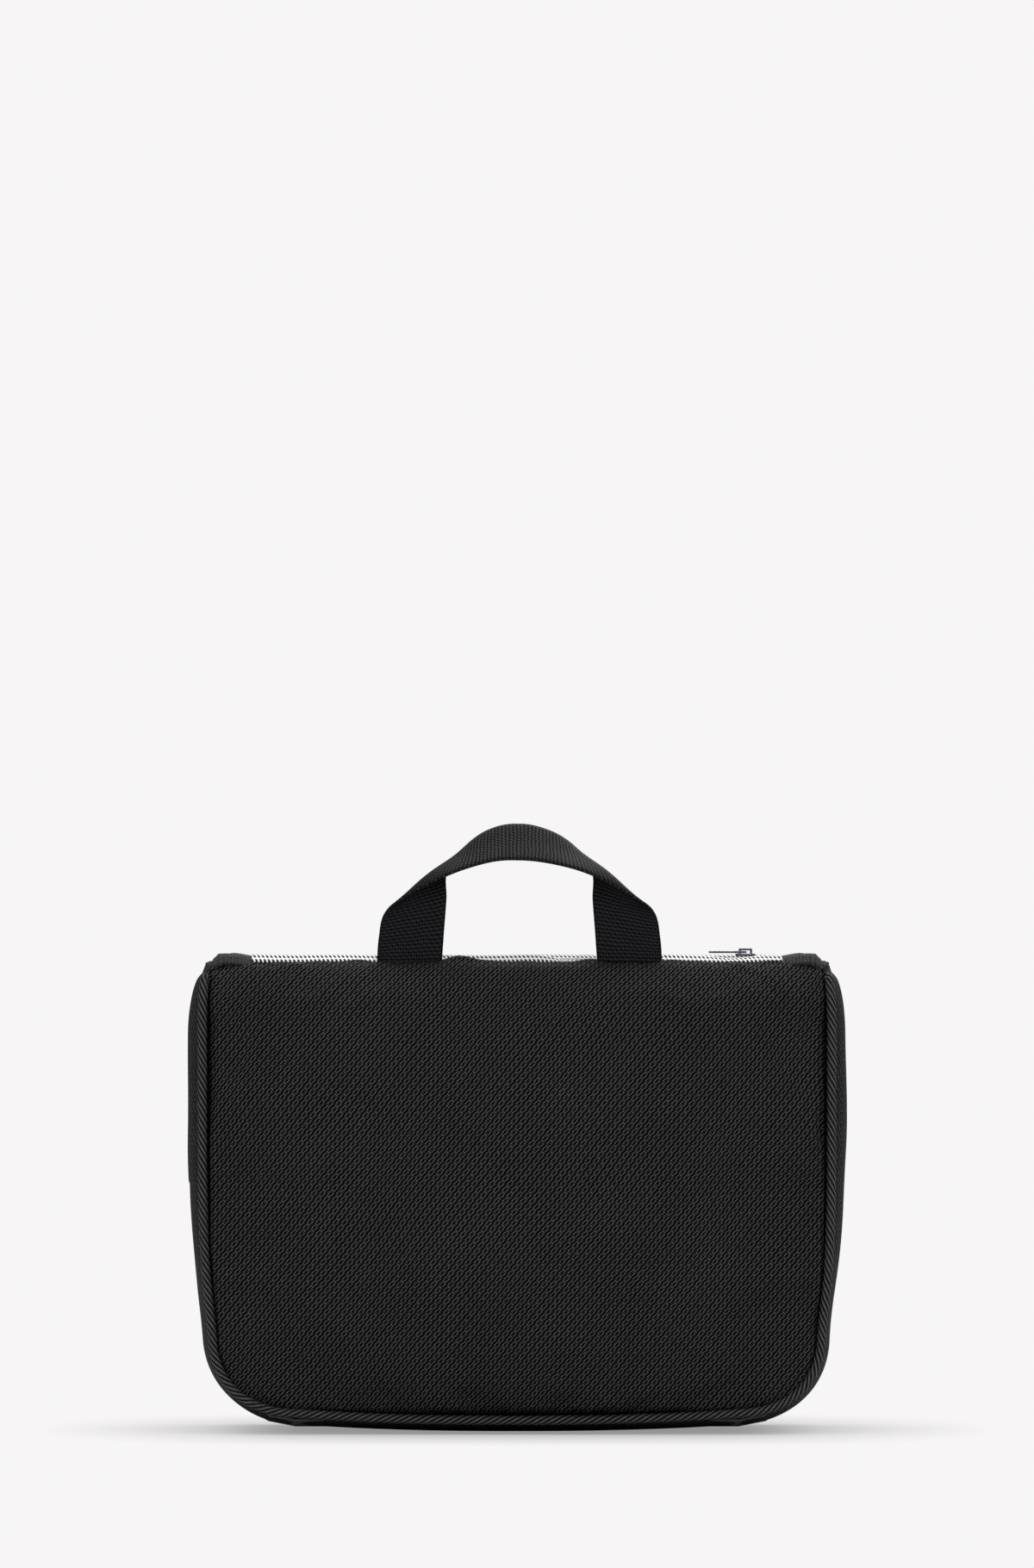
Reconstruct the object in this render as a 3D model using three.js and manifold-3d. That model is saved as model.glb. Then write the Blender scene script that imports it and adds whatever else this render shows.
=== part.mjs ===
// Hanging toiletry bag: a padded main compartment with a top zip, and a front cover that
// unzips on three sides and folds down about its bottom edge to show an organiser and a hook.
// Millimetres, +Z up. The origin is on the standing base, at the middle of the bag's depth.
// +X is to the right when the plain rear panel (-Y) is looked at; the front cover is on +Y.

import * as THREE from 'three';
import { mergeVertices } from 'three/addons/utils/BufferGeometryUtils.js';
import Module from 'manifold-3d';

const wasm = await Module();
wasm.setup();

const { lerp, smoothstep } = THREE.MathUtils;

// ---- driving dimensions ----

const SEAM_HALF_WIDTH = 117.5; // edge of the front and rear panels
const SEAM_BOTTOM = 7; // height of the bottom panel seam
const BOTTOM_CORNER = 28; // radius of the bottom corners
const LEAN = 6; // the sides lean in towards the base by this much
const LEAN_HEIGHT = 90; // and start to lean below this height

const REAR_SEAM_Y = -34;
const FRONT_SEAM_Y = 34;
const SPLIT_Y = 14; // plane of the cover zip and of the cover's fold line
const CROWN = 8; // how far the padded panels stand out at their middle

const SEAM_TOP_REAR = 177; // the rear of the top is square and high
const SEAM_TOP_FRONT = 173; // the front of the top is lower and rounder
const TOP_CORNER_REAR = 4;
const TOP_CORNER_FRONT = 16;
const CORNER_PINCH = 2.5; // the end tabs pull the top corners in
const TOP_CHANGE = { from: -20, to: 12 }; // depths between which the rear top turns into the front top

const CREST = { y: -16, z: 182.4 }; // highest line of the top, just behind the zip
const CREST_REAR_FALL = { drop: 2.8, over: 10 }; // from the crest to the rear panel
const CREST_FRONT_FALL = { drop: 6, over: 29 }; // from the crest to the cover
const ZIP_VALLEY = { depth: 2.4, halfWidth: 5.5 };
const COVER_TOP = { z: 176.4, drop: 1.6, over: 21 };

const BULGE_BOTTOM = 7; // the gusset stands out past the seams
const BULGE_CORNER = 5;
const BULGE_SIDE = 7.8;
const BULGE_EDGE_SHARE = 0.26; // share of the bulge already present beside the piping
const BULGE_RISE = 18; // distance from a seam at which the bulge is full
const BULGE_ROUNDNESS = 2.2;
const FULL_BULGE_Z = 120; // height at which the sides stand out most
const SHOULDER_START = 152; // height where the rear shoulders begin to round in
const SHOULDER_HEIGHT = 25.6;

const ROLL_EDGE = { y: -26, z: 160, reachY: 8, reachZ: 17 }; // rear panel rolling over the top, at its sides
const ROLL_MIDDLE = { y: -26, z: 162, reachY: 13.3, reachZ: 17.4 }; // and along its middle

const FABRIC = 1.2; // outer fabric with its backing
const PANEL_FABRIC = 1.0;
const FOAM = 2.6;
const LINING = 0.5;
const GAP = 0.3; // clearance between neighbouring pieces
const LAYER_GAP = 0.6; // clearance between the layers of a curved wall
const PIPING_RADIUS = 1.6;
const PIPING_SEAT = 0.6; // the piping sits this far outside the seam line

const TAPE_REAR_Y = -25.5; // rear edge of the zip tape and end tabs
const STRIP_FRONT_Y = 8; // front edge of the gusset and of the strip over the top
const COVER_GUSSET_Y = 19.3; // rear edge of the cover's own gusset
const COIL = { gap: 0.2, edge: 1, height: 0.4 }; // from the zip's middle to the coil's two edges
const TAPE_INNER_EDGE = 1.3; // from the zip's middle to the edge of its tape

const ZIP_Y = -13; // line of the top zip
const END_TAB_X = 99.4; // inner ends of the two end tabs
const COVER_LIFT = 0.4; // the cover is this much smaller than the body all round

const WEBBING_THICKNESS = 1.6;
const HANDLE_BASE_Z = 181;

const HOOK_Y = 17.6; // plane in which the stowed hook hangs
const HOOK_FOLD_Z = 171;

const DIVIDER_FRONT_Y = 11.5;

// ---- materials ----

function material(color, roughness, metalness = 0) {
  return new THREE.MeshStandardMaterial({ color, roughness, metalness });
}

const outerFabric = material(0x262627, 0.9);
const pipingFabric = material(0x2b2b2c, 0.88);
const foamPadding = material(0x55585a, 0.95);
const liningFabric = material(0x4a4c50, 0.8);
const tabFabric = material(0x3a3c3e, 0.85);
const paleTape = material(0xd8d8d6, 0.85);
const darkTape = material(0x1d1d1f, 0.9);
const coilPlastic = material(0x2a2b2d, 0.45);
const paleCoil = material(0xe2e2e0, 0.5);
const webbing = material(0x1b1b1e, 0.85);
const elastic = material(0x202022, 0.85);
const meshFabric = material(0x2c2d30, 0.8);
const sliderMetal = material(0x3c3e44, 0.35, 0.8);
const hookPlastic = material(0x1c1c1e, 0.45);

// ---- small helpers ----

const bag = new THREE.Group();

function add(name, geometry, meshMaterial) {
  const mesh = new THREE.Mesh(geometry, meshMaterial);
  mesh.name = name;
  bag.add(mesh);
  return mesh;
}

function evenSteps(count, from = 0, to = 1) {
  return Array.from({ length: count + 1 }, (_, i) => lerp(from, to, i / count));
}

function signedVolume(positions, triangles) {
  const [a, b, c] = [new THREE.Vector3(), new THREE.Vector3(), new THREE.Vector3()];
  let volume = 0;
  for (let i = 0; i < triangles.length; i += 3) {
    a.fromArray(positions, 3 * triangles[i]);
    b.fromArray(positions, 3 * triangles[i + 1]);
    c.fromArray(positions, 3 * triangles[i + 2]);
    volume += a.dot(b.cross(c)) / 6;
  }
  return volume;
}

// A closed sheet between two surfaces, each a function (a, b) -> Vector3 sampled at the
// same steps. A looped sheet joins its last step of a back to its first.
function sheet(outer, inner, aSteps, bSteps, looped = false) {
  const rows = aSteps.length;
  const columns = bSteps.length;
  const positions = [];
  for (const surface of [outer, inner]) {
    for (const a of aSteps) {
      for (const b of bSteps) {
        positions.push(...surface(a, b).toArray());
      }
    }
  }
  const at = (layer, row, column) => layer * rows * columns + (row % rows) * columns + column;
  const triangles = [];
  const quad = (p, q, r, s) => triangles.push(p, q, r, p, r, s);
  const rowSpans = looped ? rows : rows - 1;
  for (let i = 0; i < rowSpans; i++) {
    for (let j = 0; j < columns - 1; j++) {
      quad(at(0, i, j), at(0, i + 1, j), at(0, i + 1, j + 1), at(0, i, j + 1));
      quad(at(1, i, j), at(1, i, j + 1), at(1, i + 1, j + 1), at(1, i + 1, j));
    }
    quad(at(0, i, 0), at(1, i, 0), at(1, i + 1, 0), at(0, i + 1, 0));
    const last = columns - 1;
    quad(at(0, i, last), at(0, i + 1, last), at(1, i + 1, last), at(1, i, last));
  }
  if (!looped) {
    const end = rows - 1;
    for (let j = 0; j < columns - 1; j++) {
      quad(at(0, 0, j), at(0, 0, j + 1), at(1, 0, j + 1), at(1, 0, j));
      quad(at(0, end, j), at(1, end, j), at(1, end, j + 1), at(0, end, j + 1));
    }
  }
  if (signedVolume(positions, triangles) < 0) triangles.reverse();
  const geometry = new THREE.BufferGeometry();
  geometry.setAttribute('position', new THREE.Float32BufferAttribute(positions, 3));
  geometry.setIndex(triangles);
  return geometry;
}

// An outline in X and Z, extruded along Y from back to front.
function plateAcrossY(shape, yBack, yFront, curveSegments = 6) {
  const geometry = new THREE.ExtrudeGeometry(shape, {
    depth: yFront - yBack,
    bevelEnabled: false,
    curveSegments,
  });
  geometry.rotateX(Math.PI / 2);
  geometry.translate(0, yFront, 0);
  return geometry;
}

function roundedRectangle(left, right, bottom, top, radius) {
  const shape = new THREE.Shape();
  shape.moveTo(left + radius, bottom);
  shape.lineTo(right - radius, bottom);
  shape.absarc(right - radius, bottom + radius, radius, -Math.PI / 2, 0);
  shape.lineTo(right, top - radius);
  shape.absarc(right - radius, top - radius, radius, 0, Math.PI / 2);
  shape.lineTo(left + radius, top);
  shape.absarc(left + radius, top - radius, radius, Math.PI / 2, Math.PI);
  shape.lineTo(left, bottom + radius);
  shape.absarc(left + radius, bottom + radius, radius, Math.PI, 1.5 * Math.PI);
  return shape;
}

function box(x0, x1, y0, y1, z0, z1) {
  const geometry = new THREE.BoxGeometry(x1 - x0, y1 - y0, z1 - z0);
  geometry.translate((x0 + x1) / 2, (y0 + y1) / 2, (z0 + z1) / 2);
  return geometry;
}

function toSolid(geometry) {
  const bare = geometry.clone();
  bare.deleteAttribute('normal');
  bare.deleteAttribute('uv');
  const merged = mergeVertices(bare, 1e-4);
  return new wasm.Manifold(new wasm.Mesh({
    numProp: 3,
    vertProperties: new Float32Array(merged.attributes.position.array),
    triVerts: new Uint32Array(merged.index.array),
  }));
}

function toGeometry(solid) {
  const mesh = solid.getMesh();
  const geometry = new THREE.BufferGeometry();
  geometry.setAttribute('position', new THREE.BufferAttribute(mesh.vertProperties, 3));
  geometry.setIndex(new THREE.BufferAttribute(mesh.triVerts, 1));
  return geometry;
}

function join(first, ...others) {
  return toGeometry(others.reduce((solid, other) => solid.add(toSolid(other)), toSolid(first)));
}

function cut(first, ...others) {
  return toGeometry(others.reduce((solid, other) => solid.subtract(toSolid(other)), toSolid(first)));
}

// ---- the bag's wall: one loop in X and Z at every depth Y ----
// A station runs round the loop: 0 bottom middle, 1-2 bottom corner, 2-3 side, 3-4 top corner,
// 5 top middle. Stations on the left are negative, or go on from 5 to 10 over the top.

function topShape(y) {
  const forward = smoothstep(y, TOP_CHANGE.from, TOP_CHANGE.to);
  return {
    corner: lerp(TOP_CORNER_REAR, TOP_CORNER_FRONT, forward),
    seamTop: lerp(SEAM_TOP_REAR, SEAM_TOP_FRONT, forward),
    pinch: lerp(CORNER_PINCH, 0, forward),
  };
}

function leanAt(z) {
  return LEAN * (Math.max(0, LEAN_HEIGHT - z) / LEAN_HEIGHT) ** 2;
}

// Height of the top: it is highest behind the zip, dips at the zip and falls towards the front.
function topHeight(y) {
  const coverStart = SPLIT_Y - 1;
  if (y > coverStart) return COVER_TOP.z - COVER_TOP.drop * ((y - coverStart) / COVER_TOP.over) ** 2;
  const fall = y < CREST.y ? CREST_REAR_FALL : CREST_FRONT_FALL;
  const valley = ZIP_VALLEY.depth * Math.exp(-(((y - ZIP_Y) / ZIP_VALLEY.halfWidth) ** 2));
  return CREST.z - fall.drop * ((y - CREST.y) / fall.over) ** 2 - valley;
}

// Where the side gusset ends towards the rear: straight up, then following the panel's roll.
function rearEdge(z) {
  const rise = Math.min(1, Math.max(0, (z - ROLL_EDGE.z) / ROLL_EDGE.reachZ));
  return ROLL_EDGE.y - ROLL_EDGE.reachY * Math.sqrt(1 - rise * rise);
}

function bulgeAmount(station, z) {
  if (station <= 2) return lerp(BULGE_BOTTOM, BULGE_CORNER, smoothstep(station, 1, 1.7));
  const side = lerp(BULGE_CORNER, BULGE_SIDE, smoothstep(z, SEAM_BOTTOM + BOTTOM_CORNER, FULL_BULGE_Z));
  const rise = Math.min(1, Math.max(0, (z - SHOULDER_START) / SHOULDER_HEIGHT));
  return side * Math.sqrt(1 - rise * rise);
}

function sideOffset(station, y, z) {
  const fromSeam = Math.max(0, Math.min(y - rearEdge(z), FRONT_SEAM_Y - y));
  const full = 1 - (1 - Math.min(1, fromSeam / BULGE_RISE)) ** BULGE_ROUNDNESS;
  return bulgeAmount(station, z) * lerp(BULGE_EDGE_SHARE, 1, full);
}

// Point of the wall's outer face, moved inwards by depth.
function wallPoint(stationOnLoop, y, depth = 0) {
  const station = stationOnLoop > 5 ? stationOnLoop - 10 : stationOnLoop;
  const side = station < 0 ? -1 : 1;
  const s = Math.abs(station);
  const { corner, seamTop, pinch } = topShape(y);
  const topOffset = topHeight(y) - seamTop;
  const bottomX = SEAM_HALF_WIDTH - BOTTOM_CORNER;
  const topX = SEAM_HALF_WIDTH - corner;
  const angle = (s % 1) * Math.PI / 2;
  let x;
  let z;
  let offset;
  const normal = { x: 0, z: -1 };
  if (s <= 1) {
    x = s * bottomX;
    z = SEAM_BOTTOM;
    offset = sideOffset(s, y, z);
  } else if (s < 2) {
    x = bottomX + BOTTOM_CORNER * Math.sin(angle);
    z = SEAM_BOTTOM + BOTTOM_CORNER * (1 - Math.cos(angle));
    Object.assign(normal, { x: Math.sin(angle), z: -Math.cos(angle) });
    offset = sideOffset(s, y, z);
  } else if (s <= 3) {
    x = SEAM_HALF_WIDTH;
    z = lerp(SEAM_BOTTOM + BOTTOM_CORNER, seamTop - corner, s - 2);
    Object.assign(normal, { x: 1, z: 0 });
    offset = sideOffset(s, y, z);
  } else if (s < 4) {
    x = topX + corner * Math.cos(angle);
    z = seamTop + corner * (Math.sin(angle) - 1);
    Object.assign(normal, { x: Math.cos(angle), z: Math.sin(angle) });
    const fromSide = sideOffset(3, y, seamTop - corner);
    offset = lerp(fromSide, topOffset, smoothstep(s, 3, 4)) - pinch * Math.sin(2 * angle);
  } else {
    x = topX * (5 - s);
    z = seamTop;
    Object.assign(normal, { x: 0, z: 1 });
    offset = topOffset;
  }
  const out = offset - depth;
  return new THREE.Vector3(side * (x - leanAt(z) + normal.x * out), y, z + normal.z * out);
}

// Steps round part of the loop, closer together in the corners.
function loopSteps(from, to, perCorner = 5, perSide = 5) {
  const steps = [from];
  for (let leg = Math.floor(from); leg < to; leg++) {
    const corner = [-4, -2, 1, 3, 6, 8].includes(leg);
    const straight = [-5, -1, 0, 4, 5, 9].includes(leg);
    const count = corner ? perCorner : straight ? 1 : perSide;
    for (const step of evenSteps(count, leg, leg + 1)) {
      if (step > steps[steps.length - 1] + 0.02 && step < to - 0.02) steps.push(step);
    }
  }
  steps.push(to);
  return steps;
}

// A patch of the wall between two depths under its outer face.
function wallPatch({ from, to, back, front, outer, inner, across = 6, perCorner, perSide }) {
  const backAt = (station) => (typeof back === 'function' ? back(station) : back);
  const surface = (depth) => (station, b) => wallPoint(station, lerp(backAt(station), front, b), depth);
  const looped = to - from === 10;
  let steps = loopSteps(from, to, perCorner, perSide);
  if (looped) steps = steps.slice(0, -1);
  return sheet(surface(outer), surface(inner), steps, evenSteps(across), looped);
}

// The flat run of the top between the end tabs.
function topPatch(x0, x1, back, front, outer, inner, across = 5) {
  const surface = (depth) => (x, y) => new THREE.Vector3(x, y, topHeight(y) - depth);
  return sheet(surface(outer), surface(inner), [x0, x1], evenSteps(across, back, front));
}

function seamHalfWidth(z, y) {
  const { corner, seamTop } = topShape(y);
  const low = Math.max(0, SEAM_BOTTOM + BOTTOM_CORNER - z);
  const high = Math.max(0, z - (seamTop - corner));
  const lowCut = BOTTOM_CORNER - Math.sqrt(Math.max(0, BOTTOM_CORNER ** 2 - low ** 2));
  const highCut = corner - Math.sqrt(Math.max(0, corner ** 2 - high ** 2));
  return SEAM_HALF_WIDTH - leanAt(z) - lowCut - highCut;
}

// ---- padded panels: across runs -1..1 over the width, up runs 0..1 over the height ----

const ROLL_SHARE = 0.8; // the last fifth of the rear panel's height is its roll over the top
const PANEL_MIDDLE_Z = 95; // the rear panel is fullest here
const PANEL_HALF_HEIGHT = 88;
const CROWN_POWER = 4; // how flat the crown is up and down
const PILLOW_POWER = 3; // and from side to side
const SEAM_CROWDING = 1.6; // gathers the panel's steps towards the bottom seam

function rearPanelPoint(across, up) {
  const rolled = Math.max(0, up - ROLL_SHARE) / (1 - ROLL_SHARE);
  const angle = rolled * Math.PI / 2;
  const climb = Math.min(1, up / ROLL_SHARE) ** SEAM_CROWDING;
  const edge = {
    y: ROLL_EDGE.y - ROLL_EDGE.reachY * Math.cos(angle),
    z: lerp(SEAM_BOTTOM, ROLL_EDGE.z, climb) + ROLL_EDGE.reachZ * Math.sin(angle),
  };
  const climbed = lerp(SEAM_BOTTOM, ROLL_MIDDLE.z, climb);
  const middle = {
    y: REAR_SEAM_Y - CROWN * (1 - Math.abs((climbed - PANEL_MIDDLE_Z) / PANEL_HALF_HEIGHT) ** CROWN_POWER),
    z: climbed + ROLL_MIDDLE.reachZ * Math.sin(angle),
  };
  if (rolled > 0) middle.y = ROLL_MIDDLE.y - ROLL_MIDDLE.reachY * Math.cos(angle);
  const pillow = 1 - Math.abs(across) ** PILLOW_POWER;
  const halfWidth = seamHalfWidth(edge.z, REAR_SEAM_Y) - GAP;
  return new THREE.Vector3(
    across * halfWidth,
    lerp(edge.y, middle.y, pillow),
    lerp(edge.z, middle.z, pillow),
  );
}

function frontPanelPoint(across, up) {
  const top = SEAM_TOP_FRONT - COVER_LIFT - LAYER_GAP;
  const bottom = SEAM_BOTTOM + COVER_LIFT + LAYER_GAP;
  const z = lerp(bottom, top, 0.5 - 0.5 * Math.cos(Math.PI * up));
  const middle = (top + bottom) / 2;
  const crown = CROWN * (1 - Math.abs((z - middle) / (top - middle)) ** CROWN_POWER);
  const halfWidth = seamHalfWidth(z, FRONT_SEAM_Y) - COVER_LIFT - GAP;
  const stand = crown * (1 - Math.abs(across) ** PILLOW_POWER);
  return new THREE.Vector3(across * halfWidth, FRONT_SEAM_Y + stand, z);
}

// A layer of a panel between two depths.
function panelLayer(point, outwards, outer, inner, acrossSteps, upSteps) {
  const small = 1e-3;
  const surface = (depth) => (a, b) => {
    const base = point(a, b);
    const alongA = point(Math.min(1, a + small), b).sub(point(Math.max(-1, a - small), b));
    const alongB = point(a, Math.min(1, b + small)).sub(point(a, Math.max(0, b - small)));
    const normal = alongA.cross(alongB).normalize();
    if (normal.y * outwards < 0 && Math.abs(normal.y) > 1e-6) normal.negate();
    if (Math.abs(normal.y) <= 1e-6 && normal.z < 0) normal.negate();
    return base.addScaledVector(normal, -depth);
  };
  return sheet(surface(outer), surface(inner), acrossSteps, upSteps);
}

// A cord sewn into a seam, along a run of points.
function cord(points, closed, segments) {
  const round = new THREE.Shape();
  round.absarc(0, 0, PIPING_RADIUS, 0, 2 * Math.PI);
  return new THREE.ExtrudeGeometry(round, {
    steps: segments,
    curveSegments: 3,
    extrudePath: new THREE.CatmullRomCurve3(points, closed, 'centripetal'),
  });
}

// ---- body: rear panel, gusset, linings, piping ----

const GUSSET_END = 3.35; // station where the side gusset meets the end tabs
const foamTop = PANEL_FABRIC + LAYER_GAP;
const liningTop = foamTop + FOAM + LAYER_GAP;
const sideLining = { outer: FABRIC + LAYER_GAP, inner: FABRIC + LAYER_GAP + LINING };

const panelAcross = evenSteps(10, -1, 1);
const foamAcross = evenSteps(8, -0.965, 0.965);
const liningAcross = evenSteps(8, -0.95, 0.95);

function rollSteps(from, below, above) {
  return [...evenSteps(below, from, ROLL_SHARE), ...evenSteps(above, ROLL_SHARE, 1).slice(1)];
}

function rearWallEdge(station) {
  const { z } = wallPoint(station, REAR_SEAM_Y + 4);
  return rearEdge(z) + PIPING_RADIUS + GAP;
}

function addBodyShell() {
  const rearLayer = (outer, thickness, across, up) => (
    panelLayer(rearPanelPoint, -1, outer, outer + thickness, across, up)
  );
  const foamSteps = evenSteps(8, 0.035, ROLL_SHARE);
  const liningSteps = rollSteps(0.05, 8, 4).slice(0, -1);
  add('rear_panel', rearLayer(0, PANEL_FABRIC, panelAcross, rollSteps(0, 9, 4)), outerFabric);
  add('rear_foam', rearLayer(foamTop, FOAM, foamAcross, foamSteps), foamPadding);
  add('rear_lining', rearLayer(liningTop, LINING, liningAcross, liningSteps), liningFabric);
  add('body_gusset', wallPatch({
    from: -GUSSET_END, to: GUSSET_END, back: rearWallEdge, front: STRIP_FRONT_Y, outer: 0, inner: FABRIC,
  }), outerFabric);
  add('body_side_lining', wallPatch({
    from: -3, to: 3, back: (station) => rearWallEdge(station) + 2, front: STRIP_FRONT_Y - 0.5,
    ...sideLining, across: 3,
  }), liningFabric);

  const pipingPoint = (station) => {
    const seat = wallPoint(station, REAR_SEAM_Y - PIPING_SEAT);
    return wallPoint(station, rearEdge(seat.z) - PIPING_SEAT);
  };
  const pipingStations = loopSteps(-3, 3, 6, 8);
  add('rear_piping', cord(pipingStations.map(pipingPoint), false, 52), pipingFabric);
}

// ---- top: end tabs, top zip, front strip ----

const TAPE_DEPTH = { outer: 0.2, inner: 0.9 }; // the top zip's tape lies just under the wall's face
const TAB_CLEARANCE = 0.05; // stations left free between the gusset's end and the tabs and strip

function addTop() {
  for (const [name, side] of [['end_tab_left', -1], ['end_tab_right', 1]]) {
    const tab = (depth) => (a, y) => {
      const lastStation = 5 - END_TAB_X / (SEAM_HALF_WIDTH - topShape(y).corner);
      return wallPoint(side * lerp(GUSSET_END + TAB_CLEARANCE, lastStation, a), y, depth);
    };
    add(name, sheet(tab(0), tab(FABRIC), evenSteps(7), evenSteps(6, TAPE_REAR_Y, -GAP)), tabFabric);
  }
  const reach = END_TAB_X - GAP;
  const tape = (back, front) => topPatch(-reach, reach, back, front, TAPE_DEPTH.outer, TAPE_DEPTH.inner);
  const coil = (back, front) => topPatch(-reach, reach, back, front, -COIL.height, TAPE_DEPTH.inner, 1);
  add('top_zip_tape_rear', tape(TAPE_REAR_Y, ZIP_Y - TAPE_INNER_EDGE), paleTape);
  add('top_zip_tape_front', tape(ZIP_Y + TAPE_INNER_EDGE, -GAP), paleTape);
  add('top_zip_coil_rear', coil(ZIP_Y - COIL.edge, ZIP_Y - COIL.gap), paleCoil);
  add('top_zip_coil_front', coil(ZIP_Y + COIL.gap, ZIP_Y + COIL.edge), paleCoil);
  add('top_strip', wallPatch({
    from: GUSSET_END + TAB_CLEARANCE, to: 10 - GUSSET_END - TAB_CLEARANCE, back: 0, front: STRIP_FRONT_Y,
    outer: 0, inner: FABRIC, across: 3,
  }), outerFabric);
}

// ---- the cover zip and the fold line ----

const ZIP_START = 1.75; // station in the bottom corner where the cover zip begins
const FOLD_END = 1.7; // station where the fold line ends

const zipRun = { from: ZIP_START, to: 10 - ZIP_START, across: 1 };
const foldRun = { from: -FOLD_END, to: FOLD_END, across: 2 };
const BODY_TAPE_Y = STRIP_FRONT_Y + GAP;
const COVER_TAPE_Y = COVER_GUSSET_Y - GAP;

function addCoverZipBodyHalf() {
  add('body_zip_tape', wallPatch({
    ...zipRun, back: BODY_TAPE_Y, front: SPLIT_Y - TAPE_INNER_EDGE, outer: 0.2, inner: 1,
  }), darkTape);
  add('body_zip_coil', wallPatch({
    ...zipRun, back: SPLIT_Y - COIL.edge, front: SPLIT_Y - COIL.gap, outer: -0.1, inner: 1,
  }), coilPlastic);
  add('hinge_binding', wallPatch({
    ...foldRun, back: BODY_TAPE_Y, front: SPLIT_Y - GAP, outer: 0, inner: 1,
  }), outerFabric);
}

function addCoverShell() {
  const frontLayer = (outer, thickness, across, heldBack, count) => (
    panelLayer(frontPanelPoint, 1, outer, outer + thickness, across, evenSteps(count, heldBack, 1 - heldBack))
  );
  add('front_panel', frontLayer(0, PANEL_FABRIC, panelAcross, 0, 12), outerFabric);
  add('front_foam', frontLayer(foamTop, FOAM, foamAcross, 0.035, 10), foamPadding);
  add('front_lining', frontLayer(liningTop, LINING, liningAcross, 0.05, 10), liningFabric);
  const edgeOfSeam = FRONT_SEAM_Y - PIPING_RADIUS - GAP;
  add('cover_gusset', wallPatch({
    from: -5, to: 5, back: COVER_GUSSET_Y, front: edgeOfSeam,
    outer: COVER_LIFT, inner: COVER_LIFT + FABRIC, across: 4,
  }), outerFabric);
  add('cover_side_lining', wallPatch({
    from: -5, to: 5, back: 16, front: edgeOfSeam - 2,
    outer: COVER_LIFT + sideLining.outer, inner: COVER_LIFT + sideLining.inner, across: 3,
  }), liningFabric);
  add('cover_zip_tape', wallPatch({
    ...zipRun, back: SPLIT_Y + TAPE_INNER_EDGE, front: COVER_TAPE_Y,
    outer: COVER_LIFT + 0.2, inner: COVER_LIFT + 1,
  }), darkTape);
  add('cover_zip_coil', wallPatch({
    ...zipRun, back: SPLIT_Y + COIL.gap, front: SPLIT_Y + COIL.edge,
    outer: COVER_LIFT - 0.3, inner: COVER_LIFT + 1,
  }), coilPlastic);
  add('cover_hinge_strip', wallPatch({
    ...foldRun, back: SPLIT_Y + GAP, front: COVER_TAPE_Y, outer: COVER_LIFT, inner: COVER_LIFT + 1,
  }), outerFabric);

  const pipingStations = loopSteps(-5, 5, 6, 8).slice(0, -1);
  const pipingPoints = pipingStations.map((station) => wallPoint(station, FRONT_SEAM_Y + PIPING_SEAT));
  add('front_piping', cord(pipingPoints, true, 72), pipingFabric);
}

// ---- inside: divider, organiser, cover pocket ----

const DIVIDER_THICKNESS = 2.5;
const DIVIDER_INSET = 3.2; // from the wall's outer face
const NET = 0.6;
const ORGANISER = { halfWidth: 98, bottom: 14, top: 74, bulge: 4.5 };
const ORGANISER_TAPE = { halfWidth: 94, bottom: 74.4, top: 85, thickness: 0.6 };
const ORGANISER_COIL = { halfWidth: 91, bottom: 79, top: 80.6, thickness: 1 };
const ELASTIC = { inner: 30, outer: 102, bottom: 112, top: 130, loops: 4, stand: 3, thickness: 0.9 };
const COVER_POCKET = { halfWidth: 96, bottom: 16, top: 112, y: 28.2, bulge: 1.2 };
const COVER_BINDING = { back: 26, front: 28.4, bottom: 112.4, top: 117 };

function bulgedPocket({ halfWidth, bottom, top, y, bulge, outwards, openTop = 0 }) {
  const surface = (depth) => (a, b) => {
    const across = 1 - Math.abs(a) ** 4;
    const height = lerp(1 - (2 * b - 1) ** 4, 1, openTop * b);
    const stand = bulge * across * height;
    return new THREE.Vector3(a * halfWidth, y + outwards * (stand - depth), lerp(bottom, top, b));
  };
  return sheet(surface(0), surface(NET), evenSteps(10, -1, 1), evenSteps(6));
}

function elasticLoops(fromX, toX) {
  const { loops, stand, thickness, bottom, top } = ELASTIC;
  const surface = (depth) => (x, z) => {
    const wave = Math.abs(Math.sin((x - fromX) / (toX - fromX) * loops * Math.PI));
    return new THREE.Vector3(x, DIVIDER_FRONT_Y + GAP + thickness + stand * wave - depth, z);
  };
  return sheet(surface(0), surface(thickness), evenSteps(loops * 6, fromX, toX), [bottom, top]);
}

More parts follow.
